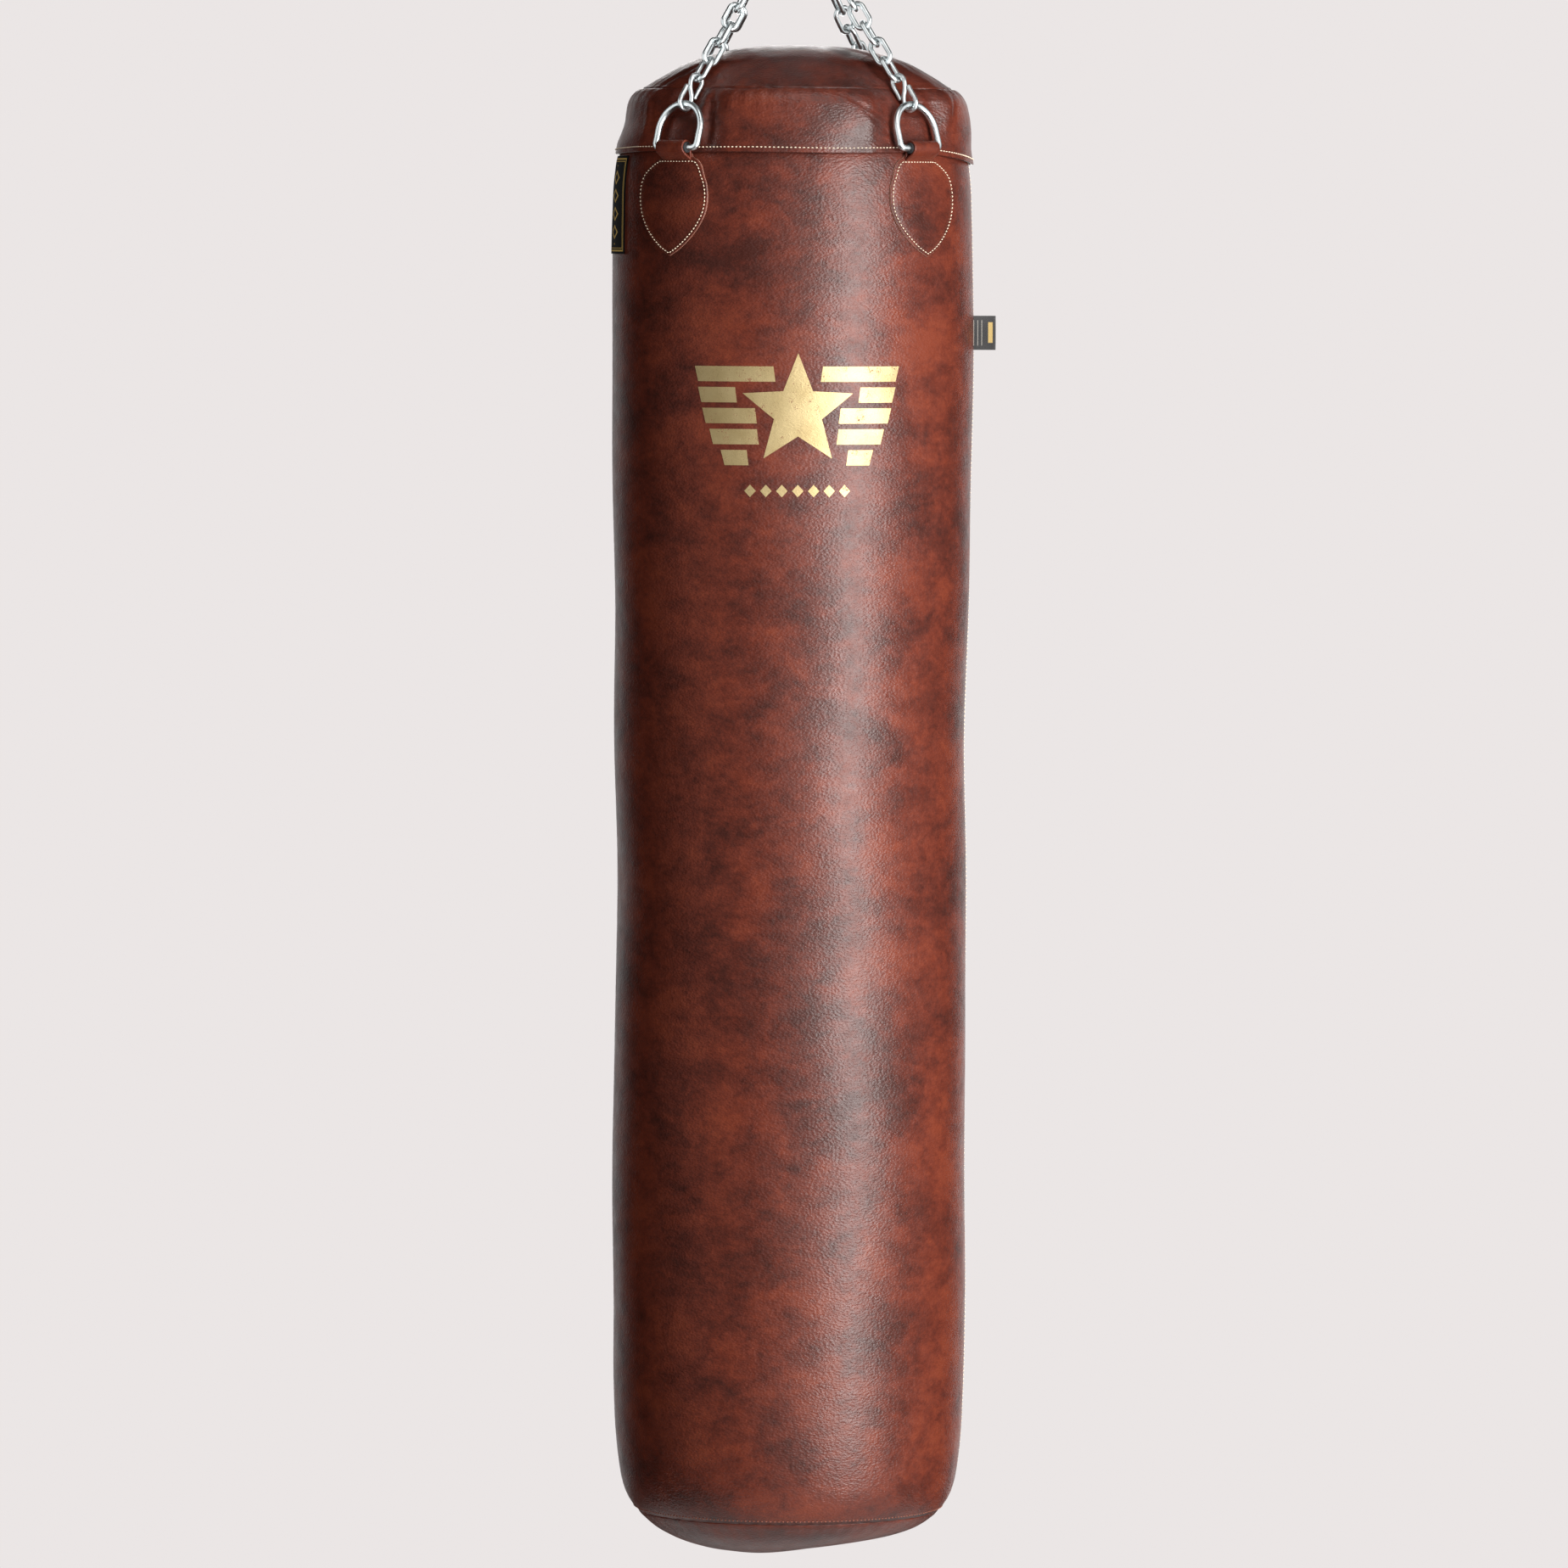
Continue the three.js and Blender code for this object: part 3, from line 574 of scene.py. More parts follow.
# Each crease: start azimuth and height, end azimuth and height, depth, half-width.
CAP_CREASES = [
    ((-31.5, 0.004), (-32, 0.056), 0.0034, 0.0055), ((-58, 0.014), (-61, 0.052), 0.0012, 0.0040),
    ((33, 0.010), (20, 0.040), 0.0009, 0.0022), ((32, 0.024), (15, 0.052), 0.0008, 0.0022),
    ((31, 0.036), (24, 0.056), 0.0009, 0.0020),
    ((60, 0.016), (66, 0.050), 0.0013, 0.0040), ((-126, 0.016), (-118, 0.056), 0.0015, 0.0036),
    ((-147, 0.020), (-154, 0.050), 0.0012, 0.0034), ((124, 0.014), (116, 0.054), 0.0016, 0.0036),
    ((146, 0.022), (153, 0.058), 0.0012, 0.0030), ((-24, 0.068), (-4, 0.080), 0.0006, 0.0080),
    ((-66, 0.062), (-54, 0.088), 0.0016, 0.0050), ((56, 0.064), (70, 0.084), 0.0010, 0.0060),
]
CAP_LEAN = 0.005


def cap_relief(azimuth, radius, height):
    """Presses of the hardware, the creases they throw, and puckers along the lid's seam. Clear of
    the rings, the cap leans a little to the right."""
    clear_of_rings = smooth(from_nearest_ring(azimuth), 0.03, 0.06) * smooth(height, -0.004, 0.03)
    proud = CAP_LEAN * np.sin(azimuth) * clear_of_rings - press(azimuth, radius, height)
    for start, end, depth, width in CAP_CREASES:
        proud = proud - crease(azimuth, height, start, end, depth, width)
    near_seam = np.exp(-np.abs(height - 0.058) / 0.010)
    pucker = 0.00045 * np.sin(64 * azimuth + 4 * np.sin(3 * azimuth)) * near_seam
    hills = 0.0012 * np.sin(2 * azimuth + 40 * height) + 0.0009 * np.sin(5 * azimuth - 55 * height)
    return proud + pucker + hills * smooth(height, 0.004, 0.03)


SKIRT_STATIONS = [
    (0.1771, -0.0042), (0.1765, 0.0000), (0.1758, 0.0060), (0.1745, 0.0140), (0.1728, 0.0260),
    (0.1714, 0.0360), (0.1692, 0.0450), (0.1652, 0.0520), (0.1598, 0.0568), (0.1562, 0.0583),
    (0.1546, 0.0572),
]
LID_STATIONS = [
    (0.1534, 0.0572), (0.1538, 0.0590), (0.1500, 0.0615), (0.1420, 0.0668), (0.1300, 0.0738),
    (0.1100, 0.0842), (0.0860, 0.0924), (0.0600, 0.0984), (0.0360, 0.1012), (0.0, 0.1022),
]
HEM_FLARE = 0.0022


def skirt_relief(azimuth, radius, height):
    """The cap's relief, and a hem that lifts off the cover on the right side."""
    lift = HEM_FLARE * np.exp(-(((azimuth - 1.45) / 0.5) ** 2)) * (1 - smooth(height, -0.004, 0.012))
    ripple = 0.0005 * np.sin(17 * azimuth) * (1 - smooth(height, -0.004, 0.010))
    return cap_relief(azimuth, radius, height) + lift + ripple


def hem_drop(azimuth, radius, height):
    """How far the skirt hangs lower than its curve: up to 11.5 mm on the right, where it slips
    down, and a little on the left, fading out over the lower half of the band."""
    right_droop = 0.0115 * smooth(azimuth, 0.66, 1.6) * (1 - smooth(azimuth, 2.3, 2.9))
    left_droop = 0.0015 * smooth(-azimuth, 0.9, 1.6)
    wander = 0.0004 * np.sin(3 * azimuth + 1) + 0.0003 * np.sin(7 * azimuth)
    return (right_droop + left_droop + wander) * (1 - smooth(height, 0.0, 0.036))


cap_leather = leather("cap_leather", 0.96, 3.1)
skirt = turned_leather("cap_skirt_leather", through(SKIRT_STATIONS, 64), cap_leather, 480,
                       skirt_relief, hem_drop)
placed(skirt, "bag", "leather", "cap_skirt")
lid = turned_leather("cap_lid_leather", through(LID_STATIONS, 90), leather("lid_leather", 0.93, 5.3),
                     400, cap_relief)
placed(lid, "bag", "leather", "cap_lid")


def cut_edge_finish():
    """The raw, pinkish-cream edge of the leather, with loose fibres."""
    f = Finish("raw_leather_edge")
    fibre = f.noise(900, 4, 0.7)
    tone = f.ramp(fibre, [(0.35, (0.14, 0.050, 0.035)), (0.65, (0.36, 0.19, 0.13))])
    return f.surface(Base_Color=tone, Roughness=0.85, Normal=f.bump(fibre, 0.0002, 0.7))


raw_edge = cut_edge_finish()
# The hem's edge band is the leather darkened to 0.55: painted shade for the dark shadow line under the
# hem.
hem_painted_shade = leather("hem_painted_shade_leather", 0.55, 4.4, 1.4)


def hem_edge():
    """The hem's raw edge: a thin band with a round section, just under the skirt's own edge, darkened to
    paint the shadow line beneath the hem.
    """
    turn = np.linspace(0, 2 * np.pi, 8, endpoint=False)[:, None]
    azimuth = round_azimuth[None, :]
    edge, edge_height = SKIRT_STATIONS[0]
    base = edge + skirt_relief(azimuth, edge, edge_height) - LEATHER / 2
    radius = base + 0.5 * LEATHER * 0.94 * np.cos(turn)
    height = -0.0040 - hem_drop(azimuth, base, edge_height) + 0.0009 * np.sin(turn)
    return surface("skirt_hem_edge", round_bag(azimuth, radius, height), hem_painted_shade,
                   wrap_rows=True, wrap_columns=True)


placed(hem_edge(), "bag", "leather")

HEM_STITCH_HEIGHT = 0.0004
# only the band's own stretch of the curve, which rises all the way
band_curve = through(SKIRT_STATIONS, 300)[:260]
hem_radius = np.interp(HEM_STITCH_HEIGHT, band_curve[:, 1], band_curve[:, 0])
hem_radius = hem_radius + skirt_relief(round_azimuth, hem_radius, HEM_STITCH_HEIGHT)
hem_out = round_bag(round_azimuth, 1.0, 0.0) * [1, 1, 0]
hem_height = HEM_STITCH_HEIGHT - hem_drop(round_azimuth, hem_radius, HEM_STITCH_HEIGHT)
hem_line = round_bag(round_azimuth, hem_radius, hem_height)
stitches("skirt_hem_stitches", hem_line, hem_out, cream_thread, closed=True)

# ---- Ring tabs ----
# Four straps of the same leather. Each goes round a D ring's bar and widens into a leaf that is
# stitched to the cover 3 mm inside its cut edge.

# Half the leaf's width, and the height above the ring bar, from its top to its point.
LEAF_STATIONS = [
    (0.0168, -0.0060), (0.0182, -0.0084), (0.0256, -0.0122), (0.0348, -0.0196), (0.0428, -0.0316),
    (0.0458, -0.0470), (0.0440, -0.0620), (0.0362, -0.0775), (0.0246, -0.0905), (0.0118, -0.1005),
    (0.0004, -0.1066),
]
LEAF_CENTRE = -0.050
INSIDE_COVER = 0.172
LEAF_SHIFT = 0.0075
LEAF_THICKNESS = 0.0022
leaf_half = through(LEAF_STATIONS, 80)
leaf_sides = np.concatenate([leaf_half, leaf_half[::-1][1:] * [-1, 1]])
top_half_width, top_height = LEAF_STATIONS[0]
top_edge = np.stack([np.linspace(-top_half_width, top_half_width, 16), np.full(16, top_height)], -1)[1:-1]
leaf_outline = np.concatenate([leaf_sides, top_edge])


def directions(azimuth):
    """The direction straight out of the bag at an azimuth, and the one along its face there."""
    sine, cosine = math.sin(azimuth), math.cos(azimuth)
    return np.array([sine, -cosine, 0]), np.array([cosine, sine, 0])


def beside_loop(flat, shift):
    """Where a leaf's points lie across it: unmoved near its top, and moved by the whole shift from
    30 mm below the ring bar downwards."""
    return flat[..., 0] + shift * smooth(-flat[..., 1], 0.009, 0.030)


def leaf(name, azimuth, shift, material):
    """Rings of the leaf's outline, shrunk towards its centre. Each ring stands off the cover by
    the leather's thickness, with a shallow sewn channel near the edge and a rounded rim, and the
    back closes on a point inside the bag."""
    centre = np.array([0.0, LEAF_CENTRE])
    inset = np.array([0.05, 0.045, 0.038, 0.030, 0.022, 0.015, 0.010, 0.0065, 0.0045, 0.0032, 0.0020,
                      0.0010, 0.0004, 0.0, 0.0, 0.0])
    proud = np.array([1.0, 1.0, 1.0, 1.0, 1.02, 1.04, 1.02, 0.94, 0.80, 0.72, 0.82,
                      0.84, 0.66, 0.34, -0.3, -0.5])
    away = leaf_outline - centre
    reach = np.linalg.norm(away, axis=1)[None, :, None]
    share = np.clip(1 - inset[:, None, None] / 0.05 * np.minimum(1, 0.05 / reach), 0, 1)
    share[0] = 0
    flat = centre + away[None] * share
    turn = azimuth + beside_loop(flat, shift) / BAG_RADIUS
    radius = cover_radius(turn, flat[..., 1]) + proud[:, None] * LEAF_THICKNESS
    rings = round_bag(turn, radius, flat[..., 1])
    back = round_bag(azimuth + shift / BAG_RADIUS, INSIDE_COVER, LEAF_CENTRE)
    base = np.broadcast_to(back, rings[-1:].shape)
    return surface(name, np.concatenate([rings, base]), material, wrap_columns=True)


STRAP_HALF_WIDTH = 0.0172
STRAP = 0.0021
OVER_SLEEVE = 0.0021
# Radius and height above the ring bars, where the strap leaves the leaf and where it ends.
STRAP_FOOT = [(0.1748, -0.0116), (0.1768, -0.0104), (0.1797, -0.0085), (0.1832, -0.0064)]
STRAP_TAIL = [(0.1752, -0.0050), (0.1748, -0.0100)]


def strap_loop(azimuth):
    """The strap's section in the plane of the bag's axis, carried across its width: up from the
    leaf, round the bar and its sleeve, and down behind it."""
    bend_radius = D_WIRE / 2 + OVER_SLEEVE + STRAP / 2
    angle = np.radians(np.linspace(-24, 168, 37))
    bend = np.stack([BAR_RADIUS + bend_radius * np.cos(angle), bend_radius * np.sin(angle)], -1)
    line = through([*STRAP_FOOT, *bend[::4], *STRAP_TAIL], 70)
    slope = np.gradient(line, axis=0)
    slope /= np.linalg.norm(slope, axis=1)[:, None]
    normal = np.stack([slope[:, 1], -slope[:, 0]], -1)
    across = np.array([-1, -1, -0.99, -0.95, -0.6, -0.3, 0, 0.3, 0.6, 0.95, 0.99, 1, 1])
    thick = np.array([0.0, 0.30, 0.44, 0.5, 0.5, 0.5, 0.5, 0.5, 0.5, 0.5, 0.44, 0.30, 0.0])
    top = line[:, None] + normal[:, None] * (thick * STRAP)[None, :, None]
    low = line[:, None] - normal[:, None] * (thick * STRAP)[None, ::-1, None]
    section = np.concatenate([top, low[:, 1:-1]], axis=1)
    side = np.concatenate([across, across[::-1][1:-1]]) * STRAP_HALF_WIDTH
    spread = 1 + 0.03 * smooth(-line[:, 1], 0.001, 0.010)
    out, along = directions(azimuth)
    return (section[..., :1] * out + (side[None, :] * spread[:, None])[..., None] * along
            + (BAR_HEIGHT + section[..., 1:]) * np.array([0, 0, 1]))


def closed_ends(points, sheet=None):
    """Adds a point at each end of a tube of points, in the middle of its first and last section,
    or of the first and last row of a sheet that lies in it."""
    sheet = points if sheet is None else sheet
    first = points[:1] * 0 + sheet[:1].mean(1, keepdims=True)
    last = points[-1:] * 0 + sheet[-1:].mean(1, keepdims=True)
    return np.concatenate([first, points, last])


STITCH_INSET = 0.0030
CROSSING_HEIGHT = -0.0132
WELT_INSET, WELT_HALF_WIDTH = 0.0003, 0.0004
WELT_PROUD, WELT_HALF_DEPTH = 0.0007, 0.0006
welt_turn = np.linspace(0, 2 * np.pi, 6, endpoint=False)[:, None]
from_centre = leaf_sides - [0.0, LEAF_CENTRE]
from_centre = from_centre / np.linalg.norm(from_centre, axis=-1, keepdims=True)
welt_flat = leaf_sides + from_centre * (WELT_HALF_WIDTH * np.cos(welt_turn) - WELT_INSET)[..., None]

# One row of stitches follows the leaf inside its edge, and crosses it under the loop.
sewn = leaf_half - [0.0, LEAF_CENTRE]
sewn = leaf_half - STITCH_INSET * sewn / np.linalg.norm(sewn, axis=1)[:, None]
sewn = sewn[sewn[:, 1] < CROSSING_HEIGHT]
sewn = np.concatenate([sewn, sewn[::-1][1:] * [-1, 1]])
crossing = np.stack([np.linspace(sewn[-1, 0], sewn[0, 0], 12), np.full(12, sewn[0, 1])], -1)[1:-1]
sewn = np.concatenate([sewn, crossing])

tab_leathers = {name: leather(f"tab_leather_{name}", 0.9 + 0.05 * k, 7.7 + 2.3 * k)
                for k, name in enumerate(RING_AZIMUTHS)}
for name, degrees in RING_AZIMUTHS.items():
    azimuth = math.radians(degrees)
    shift = LEAF_SHIFT * math.copysign(1, degrees) * (1 if abs(degrees) < 90 else -1)
    patch = leaf(f"ring_tab_leaf_{name}", azimuth, shift, tab_leathers[name])
    placed(patch, "bag", "leather", f"ring_tab_{name}")
    strap = surface(f"ring_tab_strap_{name}", closed_ends(strap_loop(azimuth)), tab_leathers[name],
                    wrap_columns=True, sharp=math.radians(50))
    placed(strap, "bag", "leather", f"ring_tab_{name}")
    # the raw edge shows as a thin welt round the leaf
    welt_azimuth = azimuth + beside_loop(welt_flat, shift) / BAG_RADIUS
    welt_radius = (cover_radius(welt_azimuth, welt_flat[..., 1])
                   + WELT_PROUD + WELT_HALF_DEPTH * np.sin(welt_turn))
    welt = surface(f"ring_tab_edge_{name}", round_bag(welt_azimuth, welt_radius, welt_flat[..., 1]),
                   raw_edge, wrap_rows=True)
    placed(welt, "bag", "leather")
    sewn_azimuth = azimuth + beside_loop(sewn, shift) / BAG_RADIUS
    path, out = line_on_cover(sewn_azimuth, sewn[:, 1], LEAF_THICKNESS * 0.80)
    stitches(f"ring_tab_stitches_{name}", path, out, cream_thread, pitch=0.0038, closed=True)

# ---- Webbing ----
# A black nylon sleeve lies between each bar and its leather loop, and shows at the loop's ends.
SLEEVE_HALF_LENGTH = 0.0190


def webbing_finish():
    """Ribbed nylon webbing: fine ribs round the sleeve, a dull sheen."""
    f = Finish("black_webbing")
    weave = f.node("ShaderNodeUVMap", {"uv_map": "weave"})
    ribs = f.node("ShaderNodeTexWave", {"wave_type": "BANDS", "bands_direction": "X"},
                  {"Vector": weave, "Scale": 26, "Distortion": 0.6})
    tone = f.ramp(ribs, [(0.2, (0.008, 0.008, 0.009)), (0.8, (0.030, 0.030, 0.034))])
    return f.surface(Base_Color=tone, Roughness=0.75, Normal=f.bump(ribs, 0.0003, 0.8))


webbing = webbing_finish()


def sleeve(azimuth):
    """A tube round the bar whose wall is folded back at both ends: radius against length."""
    inner, outer = D_WIRE / 2 + 0.0003, D_WIRE / 2 + 0.0020
    section = np.array([(inner, -1.0), (outer - 0.0004, -1.0), (outer, -0.97), (outer, -0.3),
                        (outer, 0.3), (outer, 0.97), (outer - 0.0004, 1.0), (inner, 1.0)])
    turn = np.linspace(0, 2 * np.pi, 28, endpoint=False)[None, :]
    out, along = directions(azimuth)
    radius, length = section[:, :1], section[:, 1:] * SLEEVE_HALF_LENGTH
    centre = BAR_RADIUS * out + np.array([0, 0, BAR_HEIGHT])
    points = (centre + (radius * np.cos(turn))[..., None] * out + (length + 0 * turn)[..., None] * along
              + (radius * np.sin(turn))[..., None] * np.array([0, 0, 1]))
    uv = np.stack([length / 0.04 + 0 * turn, turn / (2 * np.pi) + 0 * radius], -1)
    return points, uv


for name, degrees in RING_AZIMUTHS.items():
    points, uv = sleeve(math.radians(degrees))
    placed(surface(f"webbing_sleeve_{name}", points, webbing, wrap_rows=True, wrap_columns=True, uv=uv),
           "bag", "webbing", f"webbing_{name}")

# ---- Zinc-plated hardware ----
# Bent and welded round wire: D rings, S hooks, chain links and the master ring, all with the
# same bright bluish plating, slightly mottled.


def zinc_finish(name, wear=0.5):
    """Bright zinc plate: faint blue-grey clouds, drawing marks and a soft polish."""
    f = Finish(name)
    clouds = f.noise(70, 3, 0.5)
    marks = f.noise(900, 3, 0.6, 0.5)
    tone = f.ramp(clouds, [(0.35, (0.55, 0.60, 0.61)), (0.65, (0.72, 0.76, 0.77))])
    roughness = 0.33 + (marks - 0.5) * 0.3 + (clouds - 0.5) * wear * 0.3
    return f.surface(Base_Color=tone, Metallic=1.0, Roughness=roughness,
                     Normal=f.bump(marks, 0.00012, 0.35))


zinc = zinc_finish("zinc_plate")
hardware = bpy.data.collections.new("hardware")
for lamp in (softbox("hardware_left", -75, 3.0, 4.2, 3.6, 66, centre=1.9),
             softbox("hardware_right", 75, 3.0, 4.2, 3.6, 56, centre=1.9),
             softbox("hardware_front", 0, 3.4, 4.0, 4.0, 46, centre=1.9),
             softbox("hardware_back", 180, 3.4, 3.0, 3.0, 40, centre=1.9)):
    lamp.light_linking.receiver_collection = hardware


def metal(piece, body, slot, *nodes):
    """Places a metal piece, and lets the hardware's own lights reach it."""
    hardware.objects.link(piece)
    return placed(piece, body, slot, *nodes)


def arc(x, z, radius, start, end, count):
    """Points on a circle in a plane, from one angle to another in degrees."""
    a = np.radians(np.linspace(start, end, count))
    return np.stack([x + radius * np.cos(a), z + radius * np.sin(a)], -1)


def wire(path, thickness, basis, closed, sides=16):
    """A round wire bent in one plane: a circle carried along a path of points, whose two numbers
    run along the first and third direction of the basis. Open ends are rounded off."""
    origin, right, depth, up = basis
    path = np.asarray(path, float)
    if closed:
        tangent = np.roll(path, -1, axis=0) - np.roll(path, 1, axis=0)
        thinning = np.ones(len(path))
    else:
        tangent = np.gradient(path, axis=0)
        far = np.r_[0, np.cumsum(np.linalg.norm(np.diff(path, axis=0), axis=1))]
        near_end = np.minimum(far, far[-1] - far) / (0.45 * thickness)
        thinning = np.sqrt(np.clip(1 - (1 - np.minimum(near_end, 1)) ** 2, 0, 1))
    tangent /= np.linalg.norm(tangent, axis=1)[:, None]
    normal = np.stack([-tangent[:, 1], tangent[:, 0]], -1)
    turn = np.linspace(0, 2 * np.pi, sides, endpoint=False)
    r = (thickness / 2 * thinning)[:, None]
    flat = path[:, None] + normal[:, None] * (r * np.cos(turn))[..., None]
    off = r * np.sin(turn)
    return origin + flat[..., :1] * right + off[..., None] * depth + flat[..., 1:] * up


def eased(path, count):
    """Evenly spaced points along a path, with extra ones at both ends for the rounded tips."""
    far = np.r_[0, np.cumsum(np.linalg.norm(np.diff(path, axis=0), axis=1))]
    tips = np.array([0, 0.0001, 0.0003, 0.0006, 0.0011, 0.0017])
    at = np.concatenate([tips, np.linspace(0.0025, far[-1] - 0.0025, count), far[-1] - tips[::-1]])
    return np.stack([np.interp(at, far, path[:, 0]), np.interp(at, far, path[:, 1])], -1)


D_HALF_WIDTH = 0.0265
D_HEIGHT = 0.045
D_SHIFT = 0.003
D_CORNER = 0.005
d_path = np.concatenate([
    arc(0, D_HEIGHT - D_HALF_WIDTH, D_HALF_WIDTH, 0, 180, 48),
    arc(-D_HALF_WIDTH + D_CORNER, D_CORNER, D_CORNER, 180, 270, 10),
    arc(D_HALF_WIDTH - D_CORNER, D_CORNER, D_CORNER, 270, 360, 10),
])
Z = np.array([0.0, 0.0, 1.0])
hinges = {joint["name"]: joint for joint in frame["joints"]}
ring_low, ring_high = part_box("master_ring")
RING_WIRE = ring_high.x - ring_low.x
RING_RADIUS = (ring_high.y - ring_low.y - RING_WIRE) / 2
RING_HEIGHT = (ring_high.z + ring_low.z) / 2
REST_ON_RING = math.radians(29)
LINK_SPACING_ON_RING = math.radians(6.8)

# Each corner's directions at its D ring, and along its chain from the ring's top to its place on
# the master ring.
corners = {}
for name, degrees in RING_AZIMUTHS.items():
    out, along = directions(math.radians(degrees))
    turn = 1 if degrees > 0 else -1
    front = 1 if abs(degrees) < 90 else -1
    rest = REST_ON_RING + turn * front * LINK_SPACING_ON_RING
    on_ring = np.array([0, -front * RING_RADIUS * math.sin(rest),
                        RING_HEIGHT - RING_RADIUS * math.cos(rest)])
    top = np.array(hinges[f"chain_lean_{name}"]["pos_m"])
    up = on_ring - top
    up = up / np.linalg.norm(up)
    away = out - up * (out @ up)
    away = away / np.linalg.norm(away)
    tangent = np.array([0, front * math.cos(rest), -math.sin(rest)])
    corners[name] = {"out": out, "along": along, "turn": turn * front, "top": top, "up": up,
                     "away": away, "across": np.cross(up, away), "tangent": tangent}

for name, corner in corners.items():
    bar = corner["out"] * BAR_RADIUS + Z * BAR_HEIGHT - corner["along"] * corner["turn"] * D_SHIFT
    angle = D_LEAN if name.startswith("front") else BACK_LEAN
    lean = Z * math.cos(angle) - corner["out"] * math.sin(angle)
    depth = np.cross(lean, corner["along"])
    basis = (bar, corner["along"], depth, lean)
    ring = surface(f"d_ring_steel_{name}", wire(d_path, D_WIRE, basis, True, 20), zinc,
                   wrap_rows=True, wrap_columns=True)
    metal(ring, f"d_ring_{name}_body", "zinc_plate", f"d_ring_{name}")

# ---- Chains and S hooks ----
# Each chain is ten welded links. An S hook joins its lowest link to the D ring: both bights are
# squeezed nearly shut, and its free ends stand close to the shank.
GAP = 0.0003
LINK_WIRE = 0.005
LINK_PITCH = 0.0225
LINK_INNER_WIDTH = 0.010
LINKS_PER_CHAIN = 10
LINK_LENGTH = LINK_PITCH + LINK_WIRE + 0.0006
S_WIRE = 0.0045
S_LENGTH = 0.0405
S_BIGHT = 0.007
S_TIP = 0.017
START_TWIST = math.radians(10)
FIRST_LINK = -(D_WIRE + S_WIRE) / 2 - GAP + S_LENGTH - (S_WIRE + LINK_WIRE) / 2 - GAP

link_r = (LINK_INNER_WIDTH + LINK_WIRE) / 2
link_path = np.concatenate([
    arc(0, LINK_LENGTH - link_r, link_r, 0, 180, 18),
    arc(0, link_r, link_r, 180, 360, 18),
])
s_low = -(D_WIRE + S_WIRE) / 2 - GAP + S_BIGHT
s_high = s_low + S_LENGTH - 2 * S_BIGHT
s_path = eased(through(np.concatenate([
    [(-S_BIGHT - 0.0008, s_high - S_TIP), (-S_BIGHT - 0.0003, s_high - S_TIP / 2)],
    arc(0, s_high, S_BIGHT, 180, 0, 7),
    [(S_BIGHT * 0.55, s_high - 0.009), (-S_BIGHT * 0.55, s_low + 0.009)],
    arc(0, s_low, S_BIGHT, -180, 0, 7),
    [(S_BIGHT + 0.0003, s_low + S_TIP / 2), (S_BIGHT + 0.0008, s_low + S_TIP)],
]), 160), 80)


def turned_basis(corner, twist, lift):
    """The chain's own directions, turned about the chain by an angle and moved up along it."""
    right = corner["away"] * math.cos(twist) + corner["across"] * math.sin(twist)
    depth = corner["across"] * math.cos(twist) - corner["away"] * math.sin(twist)
    return corner["top"] + corner["up"] * lift, right, depth, corner["up"]


for name, corner in corners.items():
    body = f"chain_{name}"
    basis = turned_basis(corner, corner["turn"] * START_TWIST, 0)
    hook = surface(f"s_hook_steel_{name}", wire(s_path, S_WIRE, basis, False), zinc, wrap_columns=True)
    metal(hook, body, "zinc_plate", f"s_hook_{name}")
    end_twist = math.acos(abs(corner["across"] @ corner["tangent"]))
    for i in range(1, LINKS_PER_CHAIN + 1):
        twist = corner["turn"] * (START_TWIST + (end_twist - START_TWIST) * i / LINKS_PER_CHAIN)
        twist = twist + (math.pi / 2 if i % 2 else 0)
        basis = turned_basis(corner, twist, FIRST_LINK + (i - 1) * LINK_PITCH)
        link = surface(f"link_steel_{name}_{i}", wire(link_path, LINK_WIRE, basis, True, 14), zinc,
                       wrap_rows=True, wrap_columns=True)
        node = f"chain_{name}_link_{i}" if i <= 5 else f"chain_{name}_upper_links"
        if i == LINKS_PER_CHAIN:
            node = f"top_link_{name}"
        metal(link, body, "zinc_plate", node)

X = np.array([1.0, 0, 0])
Y = np.array([0, 1.0, 0])
circle = arc(0, 0, RING_RADIUS, 0, 360, 73)[:-1]
basis = (Z * RING_HEIGHT, Y, -X, Z)
ring_piece = surface("master_ring_steel", wire(circle, RING_WIRE, basis, True, 20), zinc,
                     wrap_rows=True, wrap_columns=True)
metal(ring_piece, "ring", "zinc_plate", "master_ring")

# ---- Label and tag ----
# A black woven label with a gold border on the left side, and a folded black tag caught in the
# side seam on the right. Both carry plain patterns only.
label_low, label_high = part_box("side_label")
LABEL_MIDDLE = math.radians(-82)
LABEL_HALF_WIDTH = 0.033
LABEL_TOP, LABEL_BOTTOM = label_high.z - BAR_HEIGHT, label_low.z - BAR_HEIGHT
LABEL_THICKNESS = 0.0009


def woven_place(finish):
    """The piece's own UV map, and its two numbers one by one."""
    weave = finish.node("ShaderNodeUVMap", {"uv_map": "weave"})
    first = finish.node("ShaderNodeSeparateXYZ", None, {0: weave})
    return weave, first, Value(finish, first.socket.node.outputs[1])


